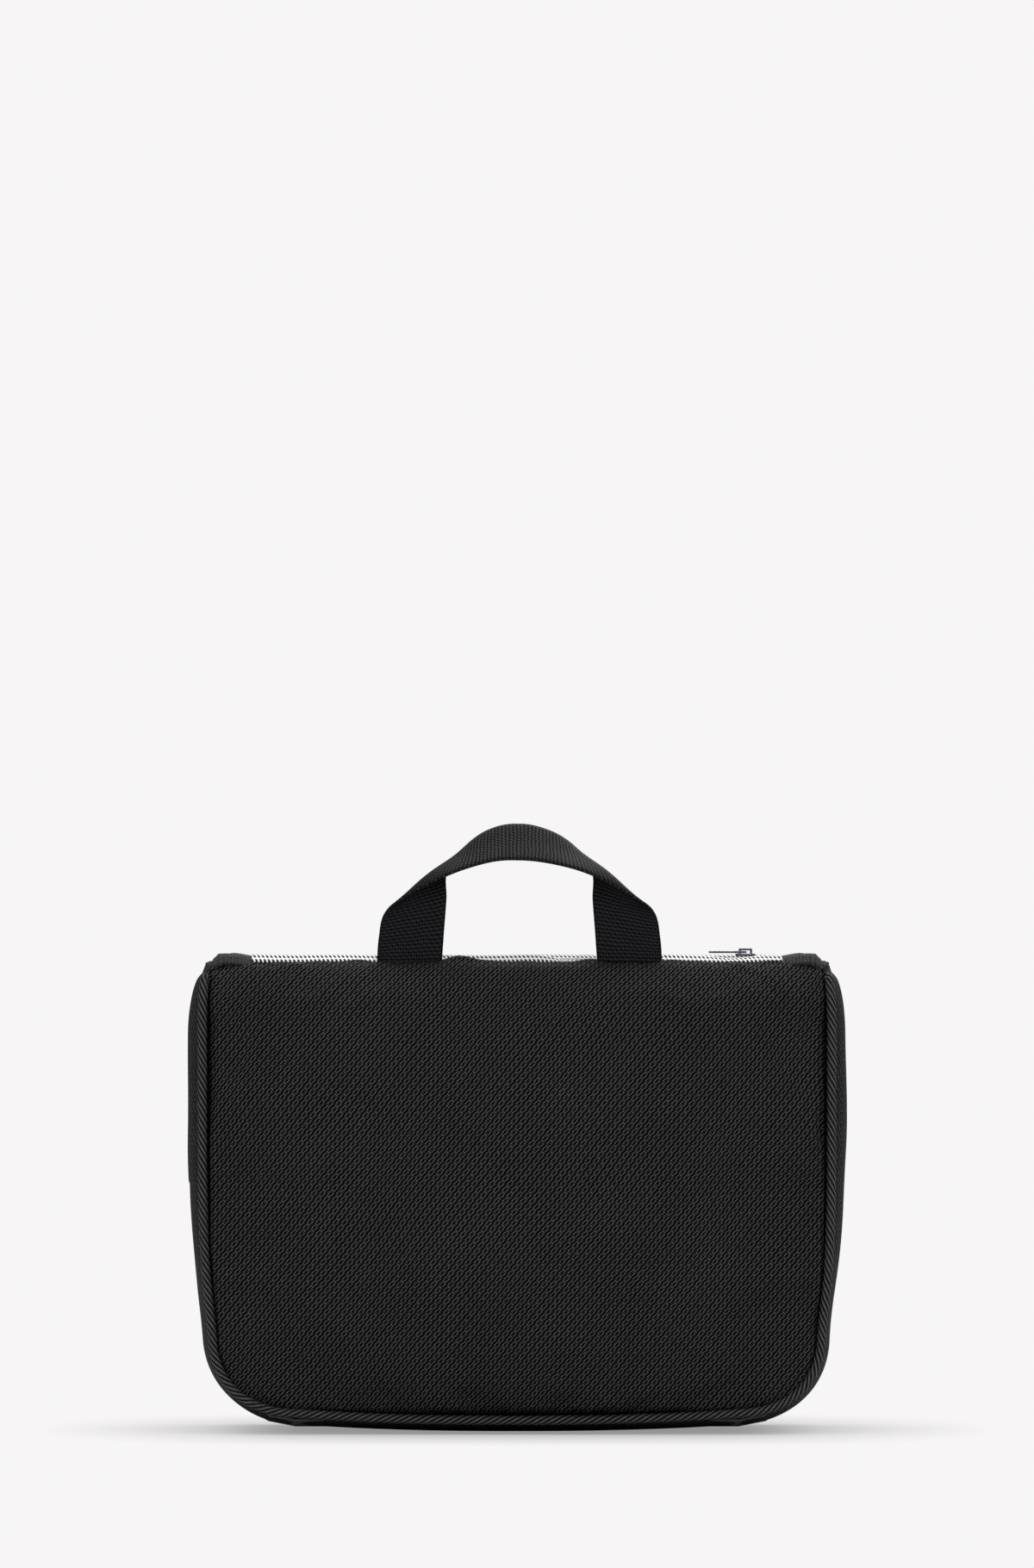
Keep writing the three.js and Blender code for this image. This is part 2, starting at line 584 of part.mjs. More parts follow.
function addInside() {
  const outline = loopSteps(-5, 5).slice(0, -1).map((station) => {
    const point = wallPoint(station, DIVIDER_FRONT_Y - 1, DIVIDER_INSET);
    return new THREE.Vector2(point.x, point.z);
  });
  const dividerShape = new THREE.Shape(outline);
  const divider = plateAcrossY(dividerShape, DIVIDER_FRONT_Y - DIVIDER_THICKNESS, DIVIDER_FRONT_Y);
  add('divider_panel', divider, liningFabric);

  const onDivider = DIVIDER_FRONT_Y + GAP;
  const organiser = bulgedPocket({ ...ORGANISER, y: onDivider + NET, outwards: 1 });
  add('organiser_pocket', organiser, meshFabric);
  const band = ORGANISER_TAPE;
  const tape = roundedRectangle(-band.halfWidth, band.halfWidth, band.bottom, band.top, 1);
  add('organiser_zip_tape', plateAcrossY(tape, onDivider, onDivider + band.thickness, 2), darkTape);
  const coil = ORGANISER_COIL;
  const coilBack = onDivider + band.thickness + GAP;
  add('organiser_zip_coil', box(
    -coil.halfWidth, coil.halfWidth, coilBack, coilBack + coil.thickness, coil.bottom, coil.top,
  ), coilPlastic);
  add('elastic_loops_left', elasticLoops(-ELASTIC.outer, -ELASTIC.inner), elastic);
  add('elastic_loops_right', elasticLoops(ELASTIC.inner, ELASTIC.outer), elastic);

  add('cover_mesh_pocket', bulgedPocket({ ...COVER_POCKET, outwards: -1, openTop: 1 }), meshFabric);
  const { back, front, bottom, top } = COVER_BINDING;
  const reach = COVER_POCKET.halfWidth;
  add('cover_pocket_binding', box(-reach, reach, back, front, bottom, top), elastic);
}

// ---- sliders and pulls ----
// Built flat: the zip runs along X, the slider sits on it at +Z and its pull lies along -X.

const SLIDER_LENGTH = 7.6;
const SLIDER_WIDTH = 6;
const SLIDER_PLATE = 1;
const BAIL_OPENING = 1.2;
const BAIL_BAR = 0.8;
const PULL_THICKNESS = 0.7;
const PULL_LENGTH = 14;
const PULL_HALF_WIDTH = 2;
const PULL_WINDOW = { from: -4.4, to: -0.4, halfWidth: 1.1 }; // the bail passes through it
const PIVOT_HEIGHT = SLIDER_PLATE + BAIL_OPENING / 2;
const SLIDER_NOSE = 2.4; // radius of the nose

const TOP_SLIDER_PLACE = [87, ZIP_Y, 181];
const COVER_SLIDER_Z = 177.7;
const COVER_SLIDER_LEFT_X = 18;
const COVER_SLIDER_SPACING = 8.2; // the two cover sliders meet nose to nose
const ORGANISER_SLIDER_PLACE = [80, DIVIDER_FRONT_Y + 2.5, 79.8];

function sliderGeometry() {
  const outline = new THREE.Shape();
  const half = SLIDER_LENGTH / 2;
  outline.absarc(half - SLIDER_NOSE, 0, SLIDER_NOSE, -Math.PI / 2, Math.PI / 2);
  outline.lineTo(-half + 1, SLIDER_WIDTH / 2);
  outline.lineTo(-half, SLIDER_WIDTH / 2 - 1);
  outline.lineTo(-half, 1 - SLIDER_WIDTH / 2);
  outline.lineTo(-half + 1, -SLIDER_WIDTH / 2);
  const plate = new THREE.ExtrudeGeometry(outline, {
    depth: SLIDER_PLATE, bevelEnabled: false, curveSegments: 4,
  });
  const top = SLIDER_PLATE + BAIL_OPENING + BAIL_BAR;
  const bail = cut(
    box(-2.6, 2.6, -0.7, 0.7, SLIDER_PLATE - 0.3, top),
    box(-1.7, 1.7, -2, 2, SLIDER_PLATE, SLIDER_PLATE + BAIL_OPENING),
  );
  return join(plate, bail);
}

function pullGeometry() {
  const outline = roundedRectangle(-PULL_LENGTH, 0.4, -PULL_HALF_WIDTH, PULL_HALF_WIDTH, 0.4);
  const { from, to, halfWidth } = PULL_WINDOW;
  outline.holes.push(roundedRectangle(from, to, -halfWidth, halfWidth, 0.3));
  const geometry = new THREE.ExtrudeGeometry(outline, {
    depth: PULL_THICKNESS, bevelEnabled: false, curveSegments: 1,
  });
  geometry.translate(0, 0, -PULL_THICKNESS / 2);
  return geometry;
}

function addSlider(prefix, suffix, place, rotation) {
  const turn = new THREE.Matrix4().makeRotationFromEuler(rotation);
  const move = new THREE.Matrix4().makeTranslation(...place);
  const flip = move.multiply(turn);
  add(`${prefix}_slider${suffix}`, sliderGeometry().applyMatrix4(flip), sliderMetal);
  const pull = pullGeometry().translate(0, 0, PIVOT_HEIGHT).applyMatrix4(flip);
  add(`${prefix}_pull${suffix}`, pull, sliderMetal);
}

function addSliders() {
  const plain = new THREE.Euler(0, 0, 0);
  const turned = new THREE.Euler(0, 0, Math.PI);
  const facingFront = new THREE.Euler(-Math.PI / 2, 0, 0);
  addSlider('top', '', TOP_SLIDER_PLACE, plain);
  addSlider('cover', '_left', [COVER_SLIDER_LEFT_X, SPLIT_Y, COVER_SLIDER_Z], plain);
  const rightX = COVER_SLIDER_LEFT_X + COVER_SLIDER_SPACING;
  addSlider('cover', '_right', [rightX, SPLIT_Y, COVER_SLIDER_Z], turned);
  addSlider('organiser', '', ORGANISER_SLIDER_PLACE, facingFront);
}

// ---- carry handle: one strip of webbing whose legs fold diagonally into the grip ----
// The outer edge of each leg becomes the grip's lower front edge, the inner edge its upper
// rear edge. Both are given over the left half, from the base to the middle.

const handleOuterEdge = [
  [-53.3, -26, HANDLE_BASE_Z], [-52, -26, 190], [-50, -27, 197.5], [-42.4, -31, 203.7],
  [-26.3, -35, 212.2], [-12, -36.3, 216.8], [0, -36.5, 218],
];
const handleInnerEdge = [
  [-28.6, -26, HANDLE_BASE_Z], [-27.8, -25.8, 191], [-27.2, -25, 202], [-27.2, -22.5, 215.5],
  [-19.5, -18.5, 223.8], [-10.9, -16, 229.4], [0, -15.5, 231],
];

function mirroredCurve(half) {
  const points = half.map(([x, y, z]) => new THREE.Vector3(x, y, z));
  const mirrored = points.slice(0, -1).reverse().map((p) => new THREE.Vector3(-p.x, p.y, p.z));
  return new THREE.CatmullRomCurve3([...points, ...mirrored], false, 'centripetal');
}

function addHandle() {
  const outerEdge = mirroredCurve(handleOuterEdge);
  const innerEdge = mirroredCurve(handleInnerEdge);
  const along = 1e-3;
  const surface = (offset) => (t, w) => {
    const rib = (s) => new THREE.Vector3().lerpVectors(outerEdge.getPoint(s), innerEdge.getPoint(s), w);
    const tangent = rib(Math.min(1, t + along)).sub(rib(Math.max(0, t - along)));
    const width = innerEdge.getPoint(t).sub(outerEdge.getPoint(t));
    return rib(t).addScaledVector(tangent.cross(width).normalize(), offset);
  };
  const half = WEBBING_THICKNESS / 2;
  add('carry_handle', sheet(surface(half), surface(-half), evenSteps(36), evenSteps(3)), webbing);
}

// ---- hook: a webbing loop sewn high on the divider, a swivel collar and the hook ----

const ANCHOR = { halfWidth: 10, bottom: 162, top: 171.4, front: 14.6 };
const LOOP = { halfWidth: 9.5, outer: 2.5, inner: 1.6, bend: 166, seat: 168.6 }; // round the collar's bar
const COLLAR = { halfWidth: 13, bottom: 154, top: 168, halfDepth: 1.2 };
const COLLAR_SLOT = { halfWidth: 10.4, bottom: 160, top: 165.6 };
const BARREL = { radius: 3.6, bore: 2.2, length: 5.6 };
const PIN = { radius: 1.7, headRadius: 3, bottom: 150, head: 160.3, top: 161.8 };
const FLANGE = { radius: 3.4, top: 153.4 };
const HOOK_SECTION = { halfDepth: 2.4, halfWidth: 2 };

// The shank drops straight down and bends into an open hook; X and Z of its centre line.
const hookBend = [
  [0, 152], [0, 135], [2.5, 125], [11, 115], [15, 103], [10.6, 92.4], [0, 88], [-10.6, 92.4], [-14.5, 101],
];

function turnedAboutShank(profile) {
  const lathe = new THREE.LatheGeometry(profile.map(([r, z]) => new THREE.Vector2(r, z)), 16);
  return lathe.rotateX(Math.PI / 2).translate(0, HOOK_Y, 0);
}

function hookLoopGeometry() {
  const loop = new THREE.Shape();
  loop.moveTo(-LOOP.outer, HOOK_FOLD_Z);
  loop.lineTo(-LOOP.outer, LOOP.bend);
  loop.absarc(0, LOOP.bend, LOOP.outer, Math.PI, 2 * Math.PI);
  loop.lineTo(LOOP.outer, HOOK_FOLD_Z);
  const inside = new THREE.Path();
  inside.moveTo(-LOOP.inner, LOOP.seat);
  inside.lineTo(-LOOP.inner, LOOP.bend);
  inside.absarc(0, LOOP.bend, LOOP.inner, Math.PI, 2 * Math.PI);
  inside.lineTo(LOOP.inner, LOOP.seat);
  loop.holes.push(inside);
  const strip = new THREE.ExtrudeGeometry(loop, {
    depth: 2 * LOOP.halfWidth, bevelEnabled: false, curveSegments: 6,
  });
  return strip.rotateX(Math.PI / 2).rotateZ(Math.PI / 2).translate(-LOOP.halfWidth, HOOK_Y, 0);
}

function collarGeometry() {
  const { halfWidth, bottom, top, halfDepth } = COLLAR;
  const frame = roundedRectangle(-halfWidth, halfWidth, bottom, top, 2.5);
  const slot = COLLAR_SLOT;
  frame.holes.push(roundedRectangle(-slot.halfWidth, slot.halfWidth, slot.bottom, slot.top, 1));
  const pinRoom = box(-3, 3, HOOK_Y - 3, HOOK_Y + 3, bottom - 4, slot.bottom + 0.5);
  const plate = cut(plateAcrossY(frame, HOOK_Y - halfDepth, HOOK_Y + halfDepth), pinRoom);
  const barrelOutline = new THREE.Shape();
  barrelOutline.absarc(0, 0, BARREL.radius, 0, 2 * Math.PI);
  const bore = new THREE.Path();
  bore.absarc(0, 0, BARREL.bore, 0, 2 * Math.PI);
  barrelOutline.holes.push(bore);
  const barrel = new THREE.ExtrudeGeometry(barrelOutline, {
    depth: BARREL.length, bevelEnabled: false, curveSegments: 6,
  });
  return join(plate, barrel.translate(0, HOOK_Y, bottom));
}

function hookGeometry() {
  const section = new THREE.Shape();
  section.absellipse(0, 0, HOOK_SECTION.halfDepth, HOOK_SECTION.halfWidth, 0, 2 * Math.PI);
  const centreLine = hookBend.map(([x, z]) => new THREE.Vector3(x, HOOK_Y, z));
  const arm = new THREE.ExtrudeGeometry(section, {
    steps: 24,
    curveSegments: 4,
    extrudePath: new THREE.CatmullRomCurve3(centreLine, false, 'centripetal'),
  });
  const { radius, headRadius, bottom, head, top } = PIN;
  const pin = turnedAboutShank([
    [0, bottom], [radius, bottom], [radius, head], [headRadius, head], [headRadius, top], [0, top],
  ]);
  const flange = turnedAboutShank([
    [0, bottom], [FLANGE.radius, bottom], [FLANGE.radius, FLANGE.top], [0, FLANGE.top],
  ]);
  return join(arm, pin, flange);
}

function addHook() {
  const { halfWidth, bottom, top, front } = ANCHOR;
  add('hook_anchor', box(-halfWidth, halfWidth, DIVIDER_FRONT_Y + GAP, front, bottom, top), webbing);
  add('hook_tab', hookLoopGeometry(), webbing);
  add('hook_collar', collarGeometry(), hookPlastic);
  add('hook', hookGeometry(), hookPlastic);
}

addBodyShell();
addTop();
addCoverZipBodyHalf();
addCoverShell();
addInside();
addSliders();
addHandle();
addHook();

export default bag;
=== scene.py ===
import math

import bpy
import numpy as np
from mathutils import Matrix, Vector


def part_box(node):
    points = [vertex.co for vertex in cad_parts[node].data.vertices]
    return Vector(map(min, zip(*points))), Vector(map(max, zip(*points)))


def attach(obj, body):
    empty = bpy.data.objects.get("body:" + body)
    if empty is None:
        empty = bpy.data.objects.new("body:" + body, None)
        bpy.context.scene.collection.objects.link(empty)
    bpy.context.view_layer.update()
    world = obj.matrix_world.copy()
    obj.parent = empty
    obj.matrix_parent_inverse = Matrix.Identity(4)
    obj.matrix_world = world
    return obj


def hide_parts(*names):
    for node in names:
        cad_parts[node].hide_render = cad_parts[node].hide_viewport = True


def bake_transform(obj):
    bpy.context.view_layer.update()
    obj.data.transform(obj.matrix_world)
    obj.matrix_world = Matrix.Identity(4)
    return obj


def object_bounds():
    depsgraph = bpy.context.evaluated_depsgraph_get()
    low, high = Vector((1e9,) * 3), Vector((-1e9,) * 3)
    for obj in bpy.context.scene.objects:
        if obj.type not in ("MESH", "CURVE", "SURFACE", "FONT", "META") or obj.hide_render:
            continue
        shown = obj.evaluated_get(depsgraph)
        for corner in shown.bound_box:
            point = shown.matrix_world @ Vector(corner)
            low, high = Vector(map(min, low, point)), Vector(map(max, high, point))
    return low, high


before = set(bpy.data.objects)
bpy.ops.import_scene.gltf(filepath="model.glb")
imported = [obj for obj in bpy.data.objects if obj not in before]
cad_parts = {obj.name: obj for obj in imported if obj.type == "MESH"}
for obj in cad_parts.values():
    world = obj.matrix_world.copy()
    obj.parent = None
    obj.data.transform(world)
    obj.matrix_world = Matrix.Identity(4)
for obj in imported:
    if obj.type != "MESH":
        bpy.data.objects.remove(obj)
cad_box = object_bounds()

# Shapes are worked out in millimetres, in the frame's axes: +X right when the plain rear panel
# (-Y) is faced, +Z up. make_piece() turns them into metres.
MM = 0.001


def set_all(target, **values):
    for name, value in values.items():
        setattr(target, name, value)


def node_box(node):
    """Lowest and highest corner of a CAD node, in millimetres."""
    low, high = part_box(node)
    return np.array(low) / MM, np.array(high) / MM


# -------- driving sizes

panel_low, panel_high = node_box("rear_panel")
front_low, front_high = node_box("front_panel")

SEAM_HALF_WIDTH = panel_high[0] + 0.3
SEAM_BOTTOM = panel_low[2]
BOTTOM_CORNER = 28.0
LEAN = 6.0
LEAN_HEIGHT = 90.0
WAIST, WAIST_Z, WAIST_REACH = 0.9, 38.0, 18.0  # the sides are drawn in a little above the corners
BOTTOM_SAG = 2.6  # the middle of the base hangs this far below its corners
REAR_SEAM_Y = -34.0
FRONT_SEAM_Y = 34.0
SPLIT_Y = 14.0
CROWN = -panel_low[1] + REAR_SEAM_Y
SEAM_TOP_REAR = 177.0
SEAM_TOP_FRONT = 173.0
TOP_CORNER_REAR = 4.0
TOP_CORNER_FRONT = 16.0
CORNER_PINCH = 2.5
BULGE_BOTTOM = SEAM_BOTTOM
BULGE_CORNER = 5.0
BULGE_SIDE = node_box("body_gusset")[1][0] - SEAM_HALF_WIDTH
BULGE_EDGE_SHARE = 0.26
BULGE_RISE = 18.0
SHOULDER_START = 152.0
SHOULDER_HEIGHT = 25.6
ZIP_Y = -13.0
END_TAB_X = node_box("end_tab_right")[0][0]
COVER_LIFT = 0.4
GUSSET_END = 3.35
PIPING_RADIUS = 1.75
WEBBING_WIDTH, WEBBING_THICKNESS = 25.0, 1.5
DIVIDER_FRONT_Y = node_box("divider_panel")[1][1]
HOOK_Y = 17.6
HOOK_FOLD_Z = 171.0
MIDDLE_Z = 95.0
BODY_EDGE_Y = 8.3  # where the body gusset gives way to the cover's zip
COVER_EDGE_Y = 19.3  # and where that zip's front tape ends under the cover gusset
ROLL_Y, ROLL_DEPTH = -26.0, 8.0  # the rear panel rolls over at the top from this depth
ROLL_Z, ROLL_HEIGHT = 160.0, 17.0


# -------- the bag's wall

def clamp(value, low=0.0, high=1.0):
    return max(low, min(high, value))


def lerp(a, b, t):
    return a + (b - a) * t


def smoothstep(value, low, high):
    t = clamp((value - low) / (high - low))
    return t * t * (3 - 2 * t)


def top_shape(y):
    forward = smoothstep(y, -20, 12)
    corner = lerp(TOP_CORNER_REAR, TOP_CORNER_FRONT, forward)
    seam_top = lerp(SEAM_TOP_REAR, SEAM_TOP_FRONT, forward)
    return corner, seam_top, lerp(CORNER_PINCH, 0.0, forward)


def lean_at(z):
    waist = WAIST * math.exp(-(((z - WAIST_Z) / WAIST_REACH) ** 2))
    return LEAN * (max(0.0, LEAN_HEIGHT - z) / LEAN_HEIGHT) ** 2 + waist


def top_height(y):
    """Height of the top: highest behind the zip, dipping at it and falling towards the front."""
    if y > SPLIT_Y - 1:
        return 176.4 - 1.6 * ((y - SPLIT_Y + 1) / 21) ** 2
    fall = 2.8 * ((y + 16) / 10) ** 2 if y < -16 else 6 * ((y + 16) / 29) ** 2
    return 182.4 - fall - 2.4 * math.exp(-(((y - ZIP_Y) / 5.5) ** 2))


def rear_edge(z):
    """Where the side gusset ends towards the rear, following the panel's roll at the top."""
    rise = clamp((z - ROLL_Z) / ROLL_HEIGHT)
    return ROLL_Y - ROLL_DEPTH * math.sqrt(1 - rise * rise)


def bulge_amount(station, z):
    if station <= 2:
        return lerp(BULGE_BOTTOM, BULGE_CORNER, smoothstep(station, 1, 1.7))
    side = lerp(BULGE_CORNER, BULGE_SIDE, smoothstep(z, SEAM_BOTTOM + BOTTOM_CORNER, 120))
    rise = clamp((z - SHOULDER_START) / SHOULDER_HEIGHT)
    return side * math.sqrt(1 - rise * rise)


def side_offset(station, y, z):
    from_seam = max(0.0, min(y - rear_edge(z), FRONT_SEAM_Y - y))
    full = 1 - (1 - min(1.0, from_seam / BULGE_RISE)) ** 2.2
    return bulge_amount(station, z) * lerp(BULGE_EDGE_SHARE, 1, full)


LOOP = 10  # stations round the whole wall


def wall_frame(station_on_loop, y):
    """Seam point, outward direction and offset of the wall at one station and depth.

    Stations: 0 bottom middle, 1-2 bottom corner, 2-3 side, 3-4 top corner, 5 top middle.
    Left ones are negative, or go on from 5 to 10 over the top.
    """
    station = station_on_loop - LOOP if station_on_loop > LOOP / 2 else station_on_loop
    side = -1 if station < 0 else 1
    s = abs(station)
    corner, seam_top, pinch = top_shape(y)
    top_offset = top_height(y) - seam_top
    bottom_x = SEAM_HALF_WIDTH - BOTTOM_CORNER
    top_x = SEAM_HALF_WIDTH - corner
    angle = (s % 1) * math.pi / 2
    if s <= 1:
        x, z, nx, nz = s * bottom_x, SEAM_BOTTOM, 0.0, -1.0
        offset = side_offset(s, y, z) - BOTTOM_SAG * s ** 2.4
    elif s < 2:
        nx, nz = math.sin(angle), -math.cos(angle)
        x = bottom_x + BOTTOM_CORNER * nx
        z = SEAM_BOTTOM + BOTTOM_CORNER * (1 + nz)
        offset = side_offset(s, y, z) - BOTTOM_SAG * (1 - smoothstep(s, 1, 1.7))
    elif s <= 3:
        x, nx, nz = SEAM_HALF_WIDTH, 1.0, 0.0
        z = lerp(SEAM_BOTTOM + BOTTOM_CORNER, seam_top - corner, s - 2)
        offset = side_offset(s, y, z)
    elif s < 4:
        nx, nz = math.cos(angle), math.sin(angle)
        x = top_x + corner * nx
        z = seam_top + corner * (nz - 1)
        from_side = side_offset(3, y, seam_top - corner)
        offset = lerp(from_side, top_offset, smoothstep(s, 3, 4)) - pinch * math.sin(2 * angle)
    else:
        x, z, nx, nz = top_x * (5 - s), seam_top, 0.0, 1.0
        offset = top_offset
    return side * (x - lean_at(z) * min(1.0, s)), z, side * nx, nz, offset


def wall_point(station, y, depth=0.0):
    x, z, nx, nz, offset = wall_frame(station, y)
    return np.array([x + nx * (offset - depth), y, z + nz * (offset - depth)])


def distances(path):
    """Distance along a path to each of its points."""
    return np.concatenate([[0], np.cumsum(np.linalg.norm(np.diff(path, axis=0), axis=1))])


def loop_stations(start, end, spacing=3.0):
    """Stations round part of the loop, about spacing apart along the wall."""
    fine = np.linspace(start, end, int((end - start) * 160) + 2)
    points = np.array([wall_point(s, 0.0) for s in fine])
    length = distances(points)
    count = max(2, int(round(length[-1] / spacing)))
    return np.interp(np.linspace(0, length[-1], count + 1), length, fine)


def seam_half_width(z, y):
    corner, seam_top, _ = top_shape(y)
    low = max(0.0, SEAM_BOTTOM + BOTTOM_CORNER - z)
    high = max(0.0, z - (seam_top - corner))
    low_cut = BOTTOM_CORNER - math.sqrt(max(0.0, BOTTOM_CORNER ** 2 - low ** 2))
    high_cut = corner - math.sqrt(max(0.0, corner ** 2 - high ** 2))
    return SEAM_HALF_WIDTH - lean_at(z) - low_cut - high_cut


# -------- mesh building

def make_piece(name, points, faces, material, uvs=None, smooth=True):
    mesh = bpy.data.meshes.new(name)
    mesh.from_pydata((np.asarray(points, float) * MM).tolist(), [], faces)
    mesh.validate()
    mesh.update()
    if uvs is not None:
        layer = mesh.uv_layers.new(name="UVMap")
        corners = np.zeros(len(mesh.loops), np.int32)
        mesh.loops.foreach_get("vertex_index", corners)
        layer.data.foreach_set("uv", np.asarray(uvs, np.float32)[corners].ravel())
    mesh.materials.append(material)
    mesh.polygons.foreach_set("use_smooth", [smooth] * len(mesh.polygons))
    piece = bpy.data.objects.new(name, mesh)
    bpy.context.scene.collection.objects.link(piece)
    return piece


def grid_faces(rows, columns, first, looped_rows=False, looped_columns=False, flip=False):
    faces = []
    for i in range(rows if looped_rows else rows - 1):
        for j in range(columns if looped_columns else columns - 1):
            a = first + i * columns + j
            b = first + ((i + 1) % rows) * columns + j
            c = first + ((i + 1) % rows) * columns + (j + 1) % columns
            d = first + i * columns + (j + 1) % columns
            faces.append((a, d, c, b) if flip else (a, b, c, d))
    return faces


def flat_grid(u, v):
    return np.stack(np.meshgrid(u, v, indexing="ij"), axis=-1)


def surface_uv(grid):
    """Flat coordinates of a surface grid, in millimetres along each direction."""
    rows, columns, _ = grid.shape
    u, v = distances(grid[:, columns // 2]), distances(grid[rows // 2])
    return flat_grid(u - u.mean(), v - v.mean())


def outward(points, faces):
    """The faces of a closed form, turned round if they point inwards."""
    fans = np.array([(face[0], face[i], face[i + 1]) for face in faces for i in range(1, len(face) - 1)])
    first, second, third = (points[fans[:, k]] for k in range(3))
    inside_out = (first * np.cross(second, third)).sum() < 0
    return [face[::-1] for face in faces] if inside_out else faces


def ringed_piece(name, rings, material, uvs=None, closed=False):
    """A form through a row of rings of points; its ends are capped unless it closes on itself."""
    count, sides, _ = rings.shape
    points = rings.reshape(-1, 3)
    faces = grid_faces(count, sides, 0, closed, True)
    if not closed:
        faces += [tuple(range(sides)), tuple(range((count - 1) * sides, count * sides))[::-1]]
    uvs = points[:, [0, 2]] if uvs is None else uvs
    return make_piece(name, points, outward(points, faces), material, uvs)


def sheet(name, outer, inner, material, looped=False, uv=None):
    """A closed sheet between two grids of points with the same shape."""
    rows, columns, _ = outer.shape
    count = rows * columns
    points = np.concatenate([outer.reshape(-1, 3), inner.reshape(-1, 3)])
    faces = grid_faces(rows, columns, 0, looped)
    faces += grid_faces(rows, columns, count, looped, flip=True)
    for i in range(rows if looped else rows - 1):
        a, b = i * columns, ((i + 1) % rows) * columns
        faces.append((a, count + a, count + b, b))
        last = columns - 1
        faces.append((a + last, b + last, count + b + last, count + a + last))
    if not looped:
        end = (rows - 1) * columns
        for j in range(columns - 1):
            faces.append((j, j + 1, count + j + 1, count + j))
            faces.append((end + j, count + end + j, count + end + j + 1, end + j + 1))
    flat = surface_uv(outer) if uv is None else uv
    uvs = np.concatenate([flat.reshape(-1, 2), flat.reshape(-1, 2)])
    return make_piece(name, points, outward(points, faces), material, uvs)


def grid_normals(grid, towards):
    """Unit normals of a grid, on the side that points along towards."""
    along = np.gradient(grid, axis=0)
    across = np.gradient(grid, axis=1)
    normals = np.cross(along, across)
    normals /= np.maximum(np.linalg.norm(normals, axis=2, keepdims=True), 1e-9)
    flip = np.sign((normals * towards).sum(axis=2, keepdims=True))
    return normals * np.where(flip == 0, 1, flip)


def wall_sheet(name, material, start, end, back, front, outer=0.0, inner=1.2, spacing=3.0, across=8,
               looped=False, ripple=None):
    """A patch of the wall between two depths under its face; back may depend on the station."""
    stations = loop_stations(start, end, spacing)
    if looped:
        stations = stations[:-1]
    layers = []
    for depth in (outer, inner):
        rows = []
        for station in stations:
            y_back = back(station) if callable(back) else back
            row = [wall_point(station, y, depth) for y in np.linspace(y_back, front, across + 1)]
            rows.append(row)
        layers.append(np.array(rows))
    if ripple is not None:
        centre = np.array([0.0, 0.0, MIDDLE_Z])
        push = ripple(layers[0])[..., None] * grid_normals(layers[0], layers[0] - centre)
        layers = [layer + push for layer in layers]
    return sheet(name, layers[0], layers[1], material, looped)


def tube(name, path, radius, material, sides=10, closed=False, swell=None):
    """A round cord along a path. swell(distance, angle) adds to its radius."""
    path = np.asarray(path, float)
    if closed:
        ahead, behind = np.roll(path, -1, axis=0), np.roll(path, 1, axis=0)
        tangents = ahead - behind
    else:
        tangents = np.gradient(path, axis=0)
    tangents /= np.linalg.norm(tangents, axis=1, keepdims=True)
    side = np.cross(tangents[0], [0.0, 1.0, 0.0])
    if np.linalg.norm(side) < 0.1:
        side = np.cross(tangents[0], [1.0, 0.0, 0.0])
    distance = distances(path)
    points, uvs = [], []
    angles = np.linspace(0, 2 * math.pi, sides, endpoint=False)
    for centre, tangent, along in zip(path, tangents, distance):
        side = side - tangent * np.dot(side, tangent)
        side /= np.linalg.norm(side)
        up = np.cross(tangent, side)
        for angle in angles:
            r = radius + (swell(along, angle) if swell else 0.0)
            points.append(centre + r * (math.cos(angle) * side + math.sin(angle) * up))
            uvs.append((along, angle * radius))
    rings = np.array(points).reshape(len(path), sides, 3)
    return ringed_piece(name, rings, material, uvs, closed)


def resample(path, spacing, closed=False):
    path = np.asarray(path, float)
    if closed:
        path = np.vstack([path, path[:1]])
    length = distances(path)
    count = max(2, int(round(length[-1] / spacing)))
    at = np.linspace(0, length[-1], count + 1)
    if closed:
        at = at[:-1]
    return np.stack([np.interp(at, length, path[:, k]) for k in range(3)], axis=1)


def smooth_curve(points, per_span=16):
    """A Catmull-Rom curve through points."""
    p = np.asarray(points, float)
    p = np.vstack([2 * p[0] - p[1], p, 2 * p[-1] - p[-2]])
    out = []
    for i in range(1, len(p) - 2):
        for t in np.linspace(0, 1, per_span, endpoint=False):
            a, b, c, d = p[i - 1], p[i], p[i + 1], p[i + 2]
            out.append(0.5 * (2 * b + (c - a) * t + (2 * a - 5 * b + 4 * c - d) * t ** 2
                              + (3 * b - a - 3 * c + d) * t ** 3))
    out.append(p[-2])
    return np.array(out)


def merged(name, parts, material):
    """One piece made of many small closed forms, each (points, faces, uvs)."""
    points, faces, uvs, first = [], [], [], 0
    for part_points, part_faces, part_uvs in parts:
        points.append(part_points)
        uvs.append(part_uvs)
        faces += [tuple(first + v for v in face) for face in part_faces]
        first += len(part_points)
    return make_piece(name, np.concatenate(points), faces, material, np.concatenate(uvs))


